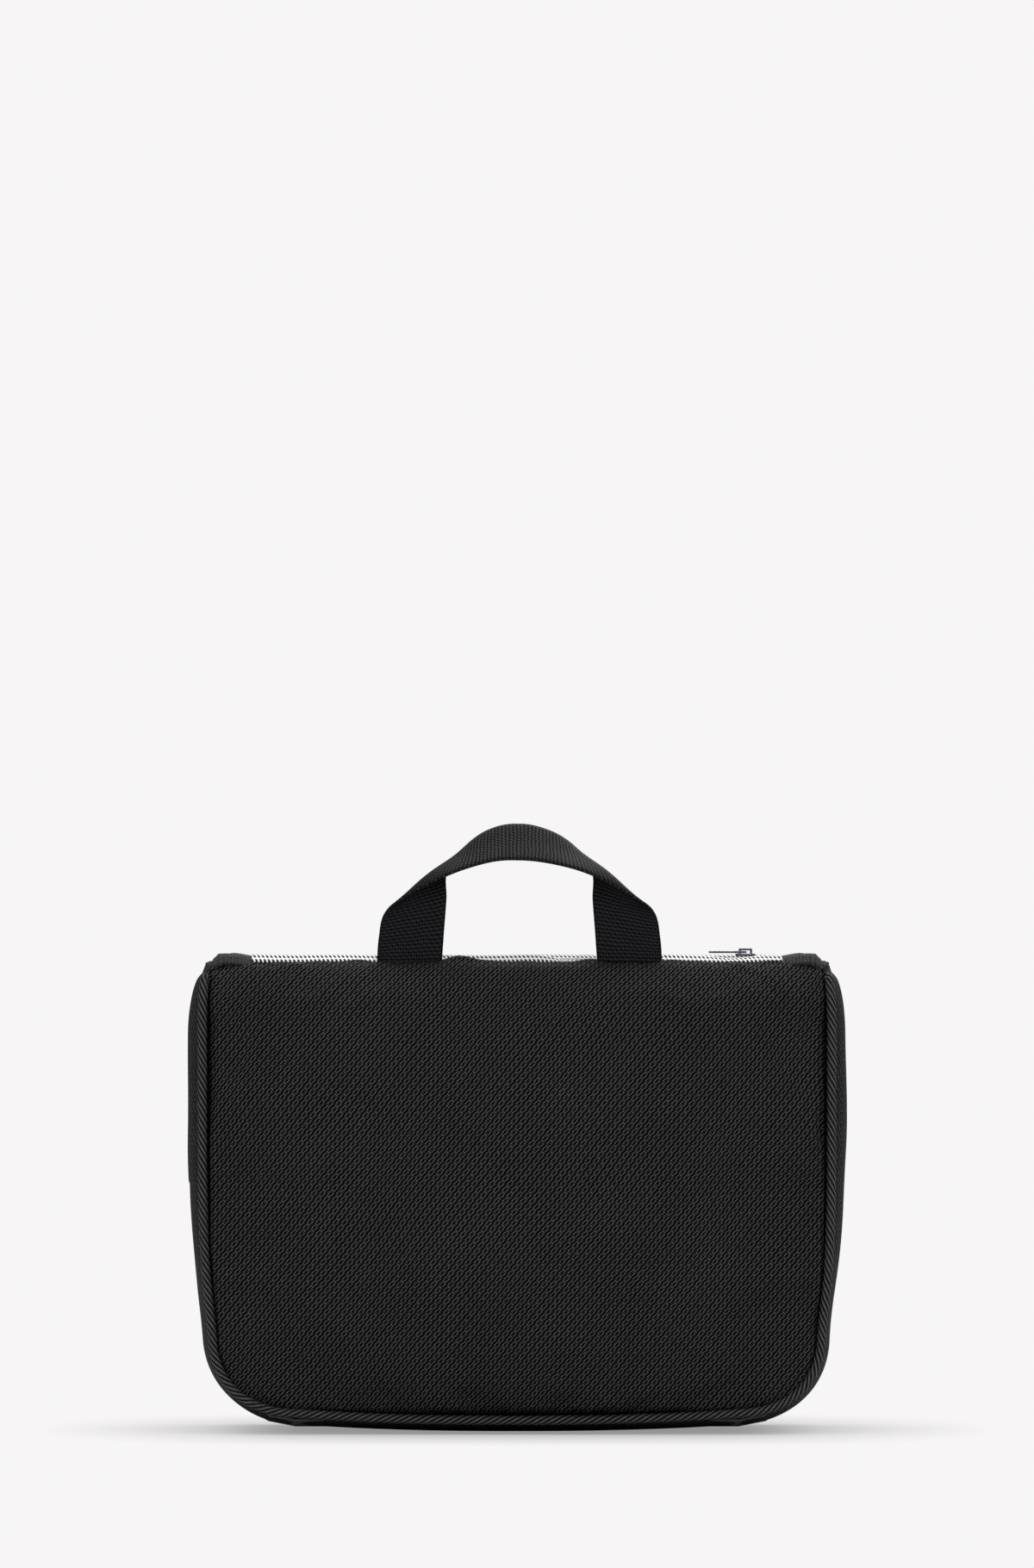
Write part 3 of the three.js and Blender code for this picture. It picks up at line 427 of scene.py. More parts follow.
def stitch(start, end, normal, radius):
    """One sewn stitch: a short thread that dives into the cloth at both ends."""
    start, end, normal = (np.asarray(v, float) for v in (start, end, normal))
    along = end - start
    length = np.linalg.norm(along)
    along /= length
    side = np.cross(along, normal)
    side /= max(np.linalg.norm(side), 1e-9)
    lift = np.cross(side, along)
    sides, rings = 6, 5
    points = [start - lift * radius]
    for t in np.linspace(0.08, 0.92, rings):
        centre = start + along * length * t + lift * radius * (math.sin(math.pi * t) - 0.6)
        r = radius * math.sin(math.pi * clamp(t, 0.12, 0.88)) ** 0.4
        for k in range(sides):
            angle = 2 * math.pi * k / sides
            points.append(centre + r * (math.cos(angle) * side + math.sin(angle) * lift))
    points.append(end - lift * radius)
    faces = [(0, 1 + (k + 1) % sides, 1 + k) for k in range(sides)]
    faces += grid_faces(rings, sides, 1, looped_columns=True)
    tip, last = len(points) - 1, 1 + (rings - 1) * sides
    faces += [(tip, last + k, last + (k + 1) % sides) for k in range(sides)]
    points = np.array(points)
    uvs = np.stack([points @ along, points @ side], axis=1)
    return points, outward(points, faces), uvs


def stitch_row(name, path, normal_at, material, length=2.4, gap=0.7, radius=0.22, closed=False):
    """A row of stitches along a path; normal_at(point) gives the cloth's outward side."""
    marks = resample(path, length + gap, closed)
    share = length / (length + gap)
    ends = np.roll(marks, -1, axis=0) if closed else marks[1:]
    parts = []
    for start, end in zip(marks, ends):
        parts.append(stitch(start, start + (end - start) * share, normal_at(start), radius))
    return merged(name, parts, material)


# -------- materials

class Shader:
    """Builds one node material with a principled surface."""

    def __init__(self, name):
        self.material = bpy.data.materials.new(name)
        self.material.use_nodes = True
        self.tree = self.material.node_tree
        self.tree.nodes.clear()
        self.surface = self.node("ShaderNodeBsdfPrincipled")
        self.output = self.node("ShaderNodeOutputMaterial")
        self.link(self.surface.outputs["BSDF"], self.output.inputs["Surface"])

    def node(self, kind, **settings):
        made = self.tree.nodes.new(kind)
        set_all(made, **settings)
        return made

    def link(self, source, target):
        self.tree.links.new(source, target)

    def put(self, target, value):
        if isinstance(value, bpy.types.NodeSocket):
            self.link(value, target)
        else:
            target.default_value = value

    def math(self, operation, *values, clamped=False):
        made = self.node("ShaderNodeMath", operation=operation, use_clamp=clamped)
        for socket, value in zip(made.inputs, values):
            self.put(socket, value)
        return made.outputs[0]

    def add(self, *values):
        total = values[0]
        for value in values[1:]:
            total = self.math("ADD", total, value)
        return total

    def times(self, a, b):
        return self.math("MULTIPLY", a, b)

    def over(self, a, b):
        return self.math("DIVIDE", a, b)

    def less(self, a, b):
        return self.math("SUBTRACT", a, b)

    def wave(self, turns):
        """A cosine between 0 and 1 with one period per turn."""
        cosine = self.math("COSINE", self.times(turns, 2 * math.pi))
        return self.math("MULTIPLY_ADD", cosine, 0.5, 0.5)

    def power(self, value, exponent):
        return self.math("POWER", value, exponent)

    def cloth_plane(self):
        """Flat cloth coordinates in millimetres, from the piece's own map."""
        parts = self.node("ShaderNodeSeparateXYZ")
        self.link(self.node("ShaderNodeUVMap", uv_map="UVMap").outputs["UV"], parts.inputs[0])
        return parts.outputs[0], parts.outputs[1]

    def space(self):
        """Position on the object in millimetres."""
        scale = self.node("ShaderNodeVectorMath", operation="SCALE")
        self.link(self.node("ShaderNodeTexCoord").outputs["Object"], scale.inputs[0])
        scale.inputs["Scale"].default_value = 1 / MM
        return scale.outputs[0]

    def noise(self, scale, detail=2.0, roughness=0.5):
        made = self.node("ShaderNodeTexNoise")
        made.inputs["Scale"].default_value = scale
        made.inputs["Detail"].default_value = detail
        made.inputs["Roughness"].default_value = roughness
        self.link(self.space(), made.inputs["Vector"])
        return made.outputs["Fac"]

    def grain(self, scale, detail, amount):
        """Noise centred on zero."""
        return self.times(self.less(self.noise(scale, detail), 0.5), amount)

    def open_share(self, reach_mm):
        """How open the surface is to its surroundings: 1 on a free face, less in a crease."""
        made = self.node("ShaderNodeAmbientOcclusion", samples=4)
        made.inputs["Distance"].default_value = reach_mm * MM
        return made.outputs["AO"]

    def blend_colour(self, factor, dark, light):
        made = self.node("ShaderNodeMix", data_type="RGBA", clamp_factor=True)
        self.put(made.inputs["Factor"], factor)
        self.put(made.inputs[6], dark if isinstance(dark, bpy.types.NodeSocket) else (*dark, 1))
        self.put(made.inputs[7], light if isinstance(light, bpy.types.NodeSocket) else (*light, 1))
        return made.outputs[2]

    def bump(self, height, depth_mm):
        made = self.node("ShaderNodeBump")
        made.inputs["Distance"].default_value = depth_mm * MM
        self.link(height, made.inputs["Height"])
        self.link(made.outputs["Normal"], self.surface.inputs["Normal"])

    def see_through(self, share, clear):
        """Lets light pass straight through the given share of the surface."""
        mix = self.node("ShaderNodeMixShader")
        self.link(share, mix.inputs[0])
        self.link(self.surface.outputs["BSDF"], mix.inputs[1])
        self.link(clear.outputs[0], mix.inputs[2])
        self.link(mix.outputs[0], self.output.inputs["Surface"])

    def finish(self, colour, roughness=0.8, metallic=0.0, specular=0.3, sheen=0.0):
        self.put(self.surface.inputs["Base Color"], colour)
        self.put(self.surface.inputs["Roughness"], roughness)
        self.surface.inputs["Metallic"].default_value = metallic
        self.put(self.surface.inputs["Specular IOR Level"], specular)
        self.surface.inputs["Sheen Weight"].default_value = sheen
        self.surface.inputs["Sheen Roughness"].default_value = 0.4
        return self.material


def grey(value, blue=0.0):
    return (value, value, value * (1 + blue))


CREASE_REACH, CREASE_SHADE_POWER = 4.0, 1.6  # painted shade: the cloth's colour is darkened by ambient occlusion where it turns down into a seam
WEAVE_CELL = (3.21, 4.22)  # width and height of one repeat of the outer fabric's lattice
# How strongly the cloth's height repeats: turns across the ribs, turns along them, and weight.
WEAVE_WAVES = ((2, 0, -0.42), (1, 0, -0.24), (2, -1, -0.22), (0, 3, -0.26), (-1, 3, 0.28), (1, 1, 0.14))


def dobby_cloth(name, dark, light, turn=0.0, depth=0.32):
    """Ballistic weave: ribs between grooves that rise along one diagonal, pierced by pin-holes."""
    s = Shader(name)
    u, v = s.cloth_plane()
    if turn:
        c, d = math.cos(turn), math.sin(turn)
        u, v = s.add(s.times(u, c), s.times(v, -d)), s.add(s.times(u, d), s.times(v, c))
    drift = s.grain(0.02, 1, 1.6)
    along = s.over(u, WEAVE_CELL[0])
    up = s.over(v, WEAVE_CELL[1])
    rib = s.add(s.less(along, up), drift)
    strand = s.add(along, up, s.times(drift, 0.7))
    height = 0.5
    for ribs, strands, weight in WEAVE_WAVES:
        turns = s.add(s.times(rib, ribs), s.times(strand, strands))
        height = s.add(height, s.times(s.less(s.wave(turns), 0.5), weight))
    hole = s.times(s.power(s.wave(s.add(rib, 0.5)), 3.0), s.power(s.wave(strand), 2.0))
    height = s.add(height, s.times(hole, -0.45))
    height = s.add(height, s.grain(2.2, 2, 0.5))
    height = s.math("MAXIMUM", height, 0.0)
    tone = s.math("MULTIPLY_ADD", s.noise(0.025, 2), 0.4, 0.82)
    # painted shade: ambient occlusion darkens the tone in creases and seams
    tone = s.times(tone, s.power(s.open_share(CREASE_REACH), CREASE_SHADE_POWER))
    colour = s.blend_colour(s.math("MULTIPLY", s.power(height, 2.8), tone, clamped=True), dark, light)
    s.bump(height, depth)
    return s.finish(colour, roughness=0.6, specular=s.times(s.power(height, 2), 0.22))


def rope_cloth(name, dark, light, strand=2.9, strands_around=6, radius=1.75, depth=0.4):
    """Bias-cut cloth drawn tight over a cord: slanting strands with deep gaps between them."""
    s = Shader(name)
    along, around = s.cloth_plane()
    slant = s.add(s.over(along, strand), s.times(around, strands_around / (2 * math.pi * radius)))
    strands = s.power(s.wave(slant), 1.3)
    threads = s.wave(s.add(s.times(along, 0.9), s.times(around, -1.3)))
    height = s.add(s.times(strands, 0.75), s.times(threads, 0.3), s.grain(1.6, 2, 0.5))
    height = s.math("MAXIMUM", height, 0.0)
    # painted shade: ambient occlusion darkens the colour in the creases and cuts the specular there
    open_share = s.power(s.open_share(CREASE_REACH), CREASE_SHADE_POWER)
    colour = s.blend_colour(s.math("MULTIPLY", s.power(height, 2.0), open_share, clamped=True), dark, light)
    s.bump(height, depth)
    return s.finish(colour, roughness=0.55, specular=s.times(s.times(height, open_share), 0.25))


def plain_cloth(name, dark, light, pitch=(0.9, 0.9), depth=0.12, roughness=0.75, sheen=0.05, specular=0.3):
    """A fine plain weave."""
    s = Shader(name)
    u, v = s.cloth_plane()
    warp = s.wave(s.over(u, pitch[0]))
    weft = s.wave(s.over(v, pitch[1]))
    over = s.wave(s.add(s.over(u, 2 * pitch[0]), s.over(v, 2 * pitch[1])))
    height = s.add(s.times(warp, over), s.times(weft, s.less(1, over)))
    height = s.add(height, s.grain(1.2, 3, 0.5))
    tone = s.math("MULTIPLY_ADD", s.noise(0.05, 2), 0.5, 0.6)
    colour = s.blend_colour(s.math("MULTIPLY", height, tone, clamped=True), dark, light)
    s.bump(height, depth)
    return s.finish(colour, roughness=roughness, specular=specular, sheen=sheen)


def ribbed_webbing(name, dark, light, rib=1.4, depth=0.3):
    """Webbing with cross ribs and fine lengthwise threads; u runs along the strip."""
    s = Shader(name)
    u, v = s.cloth_plane()
    wobble = s.grain(0.15, 1, 0.7)
    ribs = s.power(s.wave(s.add(s.over(u, rib), wobble)), 0.7)
    column = s.over(v, 1.05)
    stagger = s.wave(s.add(s.over(u, 2 * rib), s.math("MULTIPLY", column, 0.5)))
    threads = s.power(s.wave(column), 0.8)
    height = s.add(s.times(ribs, 0.55), s.times(threads, 0.3), s.times(stagger, 0.25))
    height = s.add(height, s.grain(2.5, 2, 0.35))
    colour = s.blend_colour(s.math("MULTIPLY", height, 0.85, clamped=True), dark, light)
    s.bump(height, depth)
    return s.finish(colour, roughness=0.5, specular=s.times(s.power(height, 2), 0.2))


def dotted_tape(name, pale, dot, pitch=1.6, row=3.1):
    """Pale woven tape with staggered rows of small dark gaps between its threads."""
    s = Shader(name)
    u, v = s.cloth_plane()
    along = s.over(u, pitch)
    rows = s.over(v, row)
    spots = s.times(s.power(s.wave(s.add(along, s.times(rows, 0.5))), 1.6), s.power(s.wave(rows), 0.8))
    threads = s.wave(s.over(v, row / 3))
    grain = s.noise(1.5, 2)
    height = s.add(s.less(0.8, s.times(spots, 1.1)), s.times(threads, 0.15), s.times(grain, 0.1))
    strength = s.less(1, s.math("MULTIPLY", spots, 2.6, clamped=True))
    colour = s.blend_colour(strength, dot, pale)
    s.bump(height, 0.3)
    return s.finish(colour, roughness=0.8, specular=0.2, sheen=0.1)


def mesh_cloth(name, dark, light, pitch=2.0):
    """Open netting: a staggered lattice of round holes that can be seen through."""
    s = Shader(name)
    u, v = s.cloth_plane()
    along = s.over(u, pitch)
    up = s.over(v, pitch * 1.6)
    lattice = s.math("MAXIMUM", s.times(s.wave(along), s.wave(up)),
                     s.times(s.wave(s.add(along, 0.5)), s.wave(s.add(up, 0.5))))
    hole = s.math("GREATER_THAN", lattice, 0.42)
    thread = s.less(1, lattice)
    colour = s.blend_colour(thread, dark, light)
    s.bump(thread, 0.3)
    material = s.finish(colour, roughness=0.5, specular=0.4)
    s.see_through(hole, s.node("ShaderNodeBsdfTransparent"))
    return material


def moulded_plastic(name, dark, light, grain=0.5, depth=0.03, roughness=0.42):
    s = Shader(name)
    fine = s.noise(grain * 4, 3, 0.6)
    broad = s.noise(0.08, 2)
    colour = s.blend_colour(s.add(s.times(fine, 0.5), s.times(broad, 0.5)), dark, light)
    s.bump(fine, depth)
    rough = s.math("MULTIPLY_ADD", broad, 0.2, roughness - 0.1)
    return s.finish(colour, roughness=rough, specular=0.45)


def coated_metal(name, dark, light):
    """Painted die-cast metal, rubbed a little brighter where it wears."""
    s = Shader(name)
    fine = s.noise(2.5, 3, 0.6)
    wear = s.power(s.noise(0.6, 2), 3)
    colour = s.blend_colour(s.add(s.times(fine, 0.35), s.times(wear, 1.4)), dark, light)
    s.bump(fine, 0.02)
    rough = s.math("MULTIPLY_ADD", fine, 0.2, 0.22)
    return s.finish(colour, roughness=rough, metallic=0.75, specular=0.5)


def foam_block(name, dark, light):
    """Open-cell foam: small round pores."""
    s = Shader(name)
    cells = s.node("ShaderNodeTexVoronoi")
    cells.inputs["Scale"].default_value = 1.1
    s.link(s.space(), cells.inputs["Vector"])
    pores = cells.outputs["Distance"]
    colour = s.blend_colour(pores, dark, light)
    s.bump(pores, 0.3)
    return s.finish(colour, roughness=0.95, specular=0.1)


def solid_cloth(name, dark, light, pitch=1.1):
    """A plain weave for CAD nodes, which carry no cloth map: it is laid on by position."""
    s = Shader(name)
    parts = s.node("ShaderNodeSeparateXYZ")
    s.link(s.space(), parts.inputs[0])
    x, y, z = parts.outputs
    warp = s.wave(s.over(s.add(x, s.times(y, 0.6)), pitch))
    weft = s.wave(s.over(s.add(z, s.times(y, 0.6)), pitch))
    height = s.times(s.add(warp, weft), 0.5)
    colour = s.blend_colour(s.add(s.times(height, 0.7), s.times(s.noise(0.1, 2), 0.4)), dark, light)
    s.bump(height, 0.1)
    return s.finish(colour, roughness=0.6, specular=0.3)


CLOTH_DARK, CLOTH_LIGHT = grey(0.0005), grey(0.1, 0.02)
outer_fabric = dobby_cloth("outer_fabric", CLOTH_DARK, CLOTH_LIGHT)
# gusset_fabric is the outer fabric with a darker light tone: painted shade for the band round the sides
gusset_fabric = dobby_cloth("gusset_fabric", CLOTH_DARK, grey(0.06, 0.02), turn=math.radians(90))
# the piping's light tone is partly the cord cover's own strands and partly painted highlight on their
# crests
piping_fabric = rope_cloth("piping_fabric", CLOTH_DARK, grey(0.11, 0.02))
tab_fabric = plain_cloth("tab_fabric", grey(0.002), grey(0.045, 0.05), pitch=(1.3, 1.1), depth=0.2,
                         specular=0.15)
pale_tape = dotted_tape("pale_tape", (0.86, 0.86, 0.85), grey(0.01))
pale_coil = moulded_plastic("pale_coil", grey(0.6), grey(0.85), roughness=0.5)
dark_tape = plain_cloth("dark_tape", grey(0.003), grey(0.02), pitch=(0.7, 0.7))
dark_coil = moulded_plastic("dark_coil", grey(0.008), grey(0.03, 0.1))
webbing = ribbed_webbing("webbing", grey(0.0006, 0.25), grey(0.013, 0.2))
elastic = ribbed_webbing("elastic", grey(0.004), grey(0.026), rib=1.0, depth=0.2)
lining = plain_cloth("lining", grey(0.03), grey(0.11, 0.08), pitch=(0.55, 0.55), depth=0.05, roughness=0.5)
lining_solid = solid_cloth("lining_solid", grey(0.03), grey(0.1, 0.08))
foam = foam_block("foam", grey(0.05), grey(0.12))
netting = mesh_cloth("netting", grey(0.006), grey(0.04, 0.1))
slider_metal = coated_metal("slider_metal", grey(0.03, 0.3), grey(0.2, 0.15))
hook_plastic = moulded_plastic("hook_plastic", grey(0.006), grey(0.022))
thread_dark = plain_cloth("thread_dark", grey(0.008), grey(0.045), pitch=(0.5, 0.3))
thread_grey = plain_cloth("thread_grey", grey(0.03), grey(0.11), pitch=(0.5, 0.3))


def refinish(node, material):
    """Shows a CAD node as it is, in another material."""
    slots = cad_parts[node].data.materials
    slots.clear()
    slots.append(material)


def bend(piece, nodes):
    """Bakes a piece's placing into its points and hides the CAD nodes it stands for."""
    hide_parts(*nodes)
    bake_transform(piece)


def place(piece, body, slot, *nodes):
    """Rides a piece on its body and hides the CAD nodes it stands for. Its slot is not used."""
    if nodes:
        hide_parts(*nodes)
    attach(piece, body)
    return piece


# -------- padded panels

EDGE_ROLL = 1.7  # the padding dives into the seam by this much
EDGE_ROLL_WIDTH = 3.8
ROLL_SHARE = 0.8
SEAM_OVERLAP = 0.5  # the panel's edge runs this far in under the piping


def edge_dive(distance):
    return EDGE_ROLL * max(0.0, 1 - distance / EDGE_ROLL_WIDTH) ** 2


def rear_panel_point(across, up):
    rolled = max(0.0, up - ROLL_SHARE) / (1 - ROLL_SHARE)
    angle = rolled * math.pi / 2
    climb = min(1.0, up / ROLL_SHARE) ** 1.6
    edge_y = ROLL_Y - ROLL_DEPTH * math.cos(angle)
    edge_z = lerp(SEAM_BOTTOM, ROLL_Z, climb) + ROLL_HEIGHT * math.sin(angle)
    climbed = lerp(SEAM_BOTTOM, 162, climb)
    middle_y = REAR_SEAM_Y - CROWN * (1 - abs((climbed - 95) / 88) ** 4)
    if rolled > 0:
        middle_y = ROLL_Y - 13.3 * math.cos(angle)
    middle_z = climbed + 17.4 * math.sin(angle)
    pillow = 1 - abs(across) ** 3
    square = 1 - abs(across) ** 12
    half_width = seam_half_width(edge_z, REAR_SEAM_Y) + SEAM_OVERLAP
    from_side = (1 - abs(across)) * half_width
    from_bottom = edge_z - SEAM_BOTTOM
    dive = edge_dive(min(from_side, from_bottom)) * (1 - rolled)
    return np.array([
        across * half_width,
        lerp(edge_y, middle_y, pillow) + dive,
        lerp(edge_z, middle_z, lerp(pillow, square, rolled)),
    ])


def front_panel_point(across, up):
    top, bottom = front_high[2] + SEAM_OVERLAP + 0.4, front_low[2] - SEAM_OVERLAP - 0.4
    z = lerp(bottom, top, 0.5 - 0.5 * math.cos(math.pi * up))
    middle = (top + bottom) / 2
    crown = CROWN * (1 - abs((z - middle) / (top - middle)) ** 4)
    half_width = seam_half_width(z, FRONT_SEAM_Y) - COVER_LIFT + SEAM_OVERLAP
    from_side = (1 - abs(across)) * half_width
    dive = edge_dive(min(from_side, z - bottom, top - z))
    y = FRONT_SEAM_Y + crown * (1 - abs(across) ** 3) - dive
    return np.array([across * half_width, y, z])


def panel_grid(point, across_count, up_count):
    spread = np.sin(np.linspace(-math.pi / 2, math.pi / 2, across_count))
    even = np.linspace(-1, 1, across_count)
    across = 0.45 * spread + 0.55 * even
    return np.array([[point(a, u) for u in np.linspace(0, 1, up_count)] for a in across])


def panel_uv(grid):
    """Cloth coordinates of a panel: across the width, and up along its curve."""
    rise = np.linalg.norm(np.diff(grid[..., 1:], axis=1), axis=2)
    up = np.concatenate([np.zeros((len(grid), 1)), np.cumsum(rise, axis=1)], axis=1)
    middle = grid.shape[1] // 2
    up += (grid[:, middle, 2] - up[:, middle])[:, None]
    return np.stack([grid[..., 0], up], axis=-1)


PUFF_FRAMES = 20
PUFF_PRESSURE = 3.0
PUFF_CAP = 1.6  # the face may swell this far
PUFF_SLIP = 0.6  # and slide this far sideways
WORK_THICKNESS = 5.0


def spread(values, rows_at, columns_at, rows, columns):
    """Fills a full grid from values known at some of its rows and columns."""
    tall = np.stack([np.interp(np.arange(rows), rows_at, column) for column in values.T], axis=1)
    return np.stack([np.interp(np.arange(columns), columns_at, row) for row in tall])


def puff(grid, outwards):
    """Cloth simulation of a padded panel: the sewn edge is held and the padding swells the face."""
    rows, columns, _ = grid.shape
    rows_at = np.linspace(0, rows - 1, rows // 2).round().astype(int)
    columns_at = np.linspace(0, columns - 1, columns // 2).round().astype(int)
    start = grid[np.ix_(rows_at, columns_at)]
    tall, wide, _ = start.shape
    body = sheet("cloth_work", start, start + np.array([0, -outwards * WORK_THICKNESS, 0]), outer_fabric)
    held = body.vertex_groups.new(name="held")
    count = tall * wide
    rim = [i * wide + j for i in range(tall) for j in range(wide)
           if i in (0, tall - 1) or j in (0, wide - 1)]
    held.add(rim + [count + v for v in range(count)], 1.0, "REPLACE")
    cloth = body.modifiers.new("cloth", "CLOTH")
    cloth.settings.effector_weights.gravity = 0.0
    set_all(cloth.settings, vertex_group_mass="held", quality=5, mass=0.3, tension_stiffness=15,
            compression_stiffness=15, bending_stiffness=0.8, shrink_min=-0.035, use_pressure=True,
            uniform_pressure_force=PUFF_PRESSURE)
    set_all(cloth.point_cache, frame_start=1, frame_end=PUFF_FRAMES)
    scene = bpy.context.scene
    for number in range(1, PUFF_FRAMES + 1):
        scene.frame_set(number)
    settled = body.evaluated_get(bpy.context.evaluated_depsgraph_get())
    coords = np.zeros(len(settled.data.vertices) * 3)
    settled.data.vertices.foreach_get("co", coords)
    moved = coords.reshape(-1, 3)[:count].reshape(tall, wide, 3) / MM - start
    moved[..., 0::2] = np.clip(moved[..., 0::2], -PUFF_SLIP, PUFF_SLIP)
    moved[..., 1] = outwards * np.clip(outwards * moved[..., 1], 0.0, PUFF_CAP)
    scene.frame_set(1)
    bpy.data.objects.remove(body)
    push = [spread(moved[..., k], rows_at, columns_at, rows, columns) for k in range(3)]
    return grid + np.stack(push, axis=-1)


PUCKERS = 0.28  # depth of the small gathers that the seam thread pulls into the panel


def add_puckers(grid, outwards, seam_distance):
    """Small irregular gathers beside the seam and broad soft hollows over the face."""
    rows, columns, _ = grid.shape
    x, z = grid[..., 0], grid[..., 2]
    along = x * 0.9 + z * 1.1
    gathers = np.sin(along / 3.1) * np.sin(along / 7.7 + 1.3) * np.exp(-((seam_distance - 4) / 5) ** 2)
    broad = np.sin(x / 41 + 0.6) * np.sin(z / 33 + 1.1) + 0.6 * np.sin((x + z) / 27)
    inside = 1 - np.exp(-seam_distance / 14)
    push = PUCKERS * gathers + 0.35 * broad * inside
    grid = grid.copy()
    grid[..., 1] += outwards * push
    return grid


def seam_distances(grid, hold_top):
    x, z = grid[..., 0], grid[..., 2]
    y = REAR_SEAM_Y if hold_top else FRONT_SEAM_Y
    half = np.vectorize(lambda height: seam_half_width(min(height, 170.0), y))(z)
    side = half - np.abs(x)
    ends = z - SEAM_BOTTOM if hold_top else np.minimum(z - SEAM_BOTTOM, front_high[2] - z)
    return np.maximum(0.0, np.minimum(side, ends))


SEAM_LIFTS = ((-21.0, 7.5, 2.3), (-59.0, 4.0, 0.8), (27.0, 5.0, 0.9), (60.0, 5.0, 0.7), (104.0, 8.0, 1.0),
              (-111.0, 6.0, 1.3), (112.0, 5.0, 0.8))


def lift_top_edge(grid):
    """The seam gathers up beside the handle's legs and lies lower between them."""
    grid = grid.copy()
    columns = grid.shape[1]
    x = grid[:, -1, 0]
    fade = np.linspace(0, 1, columns) ** 22
    lift = 0.18 * np.sin(x / 2.1) + 0.15 * np.sin(x / 5.3 + 2)
    for middle, reach, rise in SEAM_LIFTS:
        lift += rise * np.exp(-((x - middle) / reach) ** 2)
    grid[..., 2] += fade[None, :] * lift[:, None]
    return grid


def build_panel(name, point, outwards, body, node, hold_top):
    grid = panel_grid(point, 110, 84)
    flat = panel_uv(grid)
    grid = puff(grid, outwards)
    grid = add_puckers(grid, outwards, seam_distances(grid, hold_top))
    if hold_top:
        grid = lift_top_edge(grid)
    inner = grid - grid_normals(grid, np.array([0, outwards, 0.5 if hold_top else 0.0]))
    return place(sheet(name, grid, inner, outer_fabric, uv=flat), body, "outer_fabric", node)


# -------- body and cover shells

def gusset_ripple(grid):
    """Soft sags between the seams, a little deeper in the corners."""
    x, y, z = grid[..., 0], grid[..., 1], grid[..., 2]
    around = np.arctan2(z - MIDDLE_Z, x) * 110
    waves = np.sin(around / 17 + 0.7) + 0.7 * np.sin(around / 7.3 + y / 9)
    fade = np.clip(1 - np.abs(y - np.mean(y)) / (np.ptp(y) / 2), 0, 1) ** 0.7
    flat = np.clip(z / 12, 0, 1)
    return 0.3 * waves * fade * flat


GUSSET_SPACING = 1.5
GUSSET_LAP = 0.42  # the gusset's sewn-down ends lap this far over the end tabs, in stations


def body_gusset_ripple(grid):
    """The same, with the two sewn-down ends rounded over where they meet the end tabs."""
    rows = np.arange(len(grid))
    from_end = np.minimum(rows, rows[-1] - rows) * GUSSET_SPACING
    swell = 2.1 * np.exp(-((from_end - 5.5) / 4.0) ** 2) - 3.0 * np.exp(-(from_end / 1.8) ** 2)
    return gusset_ripple(grid) + swell[:, None]


def rear_wall_edge(station):
    z = wall_point(station, REAR_SEAM_Y + 4)[2]
    return rear_edge(z) + PIPING_RADIUS - 0.3


CORD_SPACING, CORD_SIDES = 0.55, 14


def rope(distance, angle):
    """The bias-cut cover of a cord lies a little unevenly."""
    return 0.07 * math.sin(2 * math.pi * distance / 2.9 + angle) + 0.05 * math.sin(distance / 1.1)


def build_body_shell():
    build_panel("rear_panel_cloth", rear_panel_point, -1, "bag_body", "rear_panel", True)
    end = GUSSET_END + GUSSET_LAP
    gusset = wall_sheet("body_gusset_cloth", gusset_fabric, -end, end, rear_wall_edge, BODY_EDGE_Y,
                        spacing=GUSSET_SPACING, across=18, ripple=body_gusset_ripple)
    place(gusset, "bag_body", "outer_fabric", "body_gusset")

    stations = loop_stations(-3.15, 3.15, 1.0)
    path = []
    for station in stations:
        seat = wall_point(station, REAR_SEAM_Y - 0.6)
        path.append(wall_point(station, rear_edge(seat[2]) - 0.7, 0.1))
    cord = tube("rear_piping_cord", resample(path, CORD_SPACING), PIPING_RADIUS, piping_fabric,
                sides=CORD_SIDES, swell=rope)
    place(cord, "bag_body", "piping", "rear_piping")
    refinish("rear_foam", foam)
    refinish("rear_lining", lining_solid)
    refinish("body_side_lining", lining_solid)


def build_cover_shell():
    build_panel("front_panel_cloth", front_panel_point, 1, "front_cover", "front_panel", False)
    edge = FRONT_SEAM_Y - PIPING_RADIUS + 0.3
    gusset = wall_sheet("cover_gusset_cloth", gusset_fabric, -5, 5, 19.0, edge, outer=COVER_LIFT,
                        inner=COVER_LIFT + 1.2, spacing=2.5, across=10, looped=True, ripple=gusset_ripple)
    place(gusset, "front_cover", "outer_fabric", "cover_gusset")
    path = [wall_point(s, FRONT_SEAM_Y + 0.7, 0.1) for s in loop_stations(-5, 5, 1.0)[:-1]]
    cord = tube("front_piping_cord", resample(path, CORD_SPACING, True), PIPING_RADIUS, piping_fabric,
                sides=CORD_SIDES, closed=True, swell=rope)
    place(cord, "front_cover", "piping", "front_piping")
    side = wall_sheet("cover_side_lining_cloth", lining, -5, 5, 15.6, edge - 0.2, outer=COVER_LIFT + 1.8,
                      inner=COVER_LIFT + 2.6, spacing=4, across=6, looped=True)
    place(side, "front_cover", "lining", "cover_side_lining")
    grid = panel_grid(front_panel_point, 60, 48)
    normals = grid_normals(grid, np.array([0, 1.0, 0]))
    x, z = grid[..., 0], grid[..., 2]
    soft = 0.35 * np.sin(x / 19) * np.sin(z / 15 + 0.4)
    squeezed = grid * np.array([0.955, 1, 0.955]) + np.array([0, 0, 4.0])
    outer = squeezed - (5.0 + soft[..., None]) * normals
    face = sheet("front_lining_cloth", outer, outer - 0.5 * normals, lining)
    place(face, "front_cover", "lining", "front_lining")
    refinish("front_foam", foam)


# -------- top of the bag

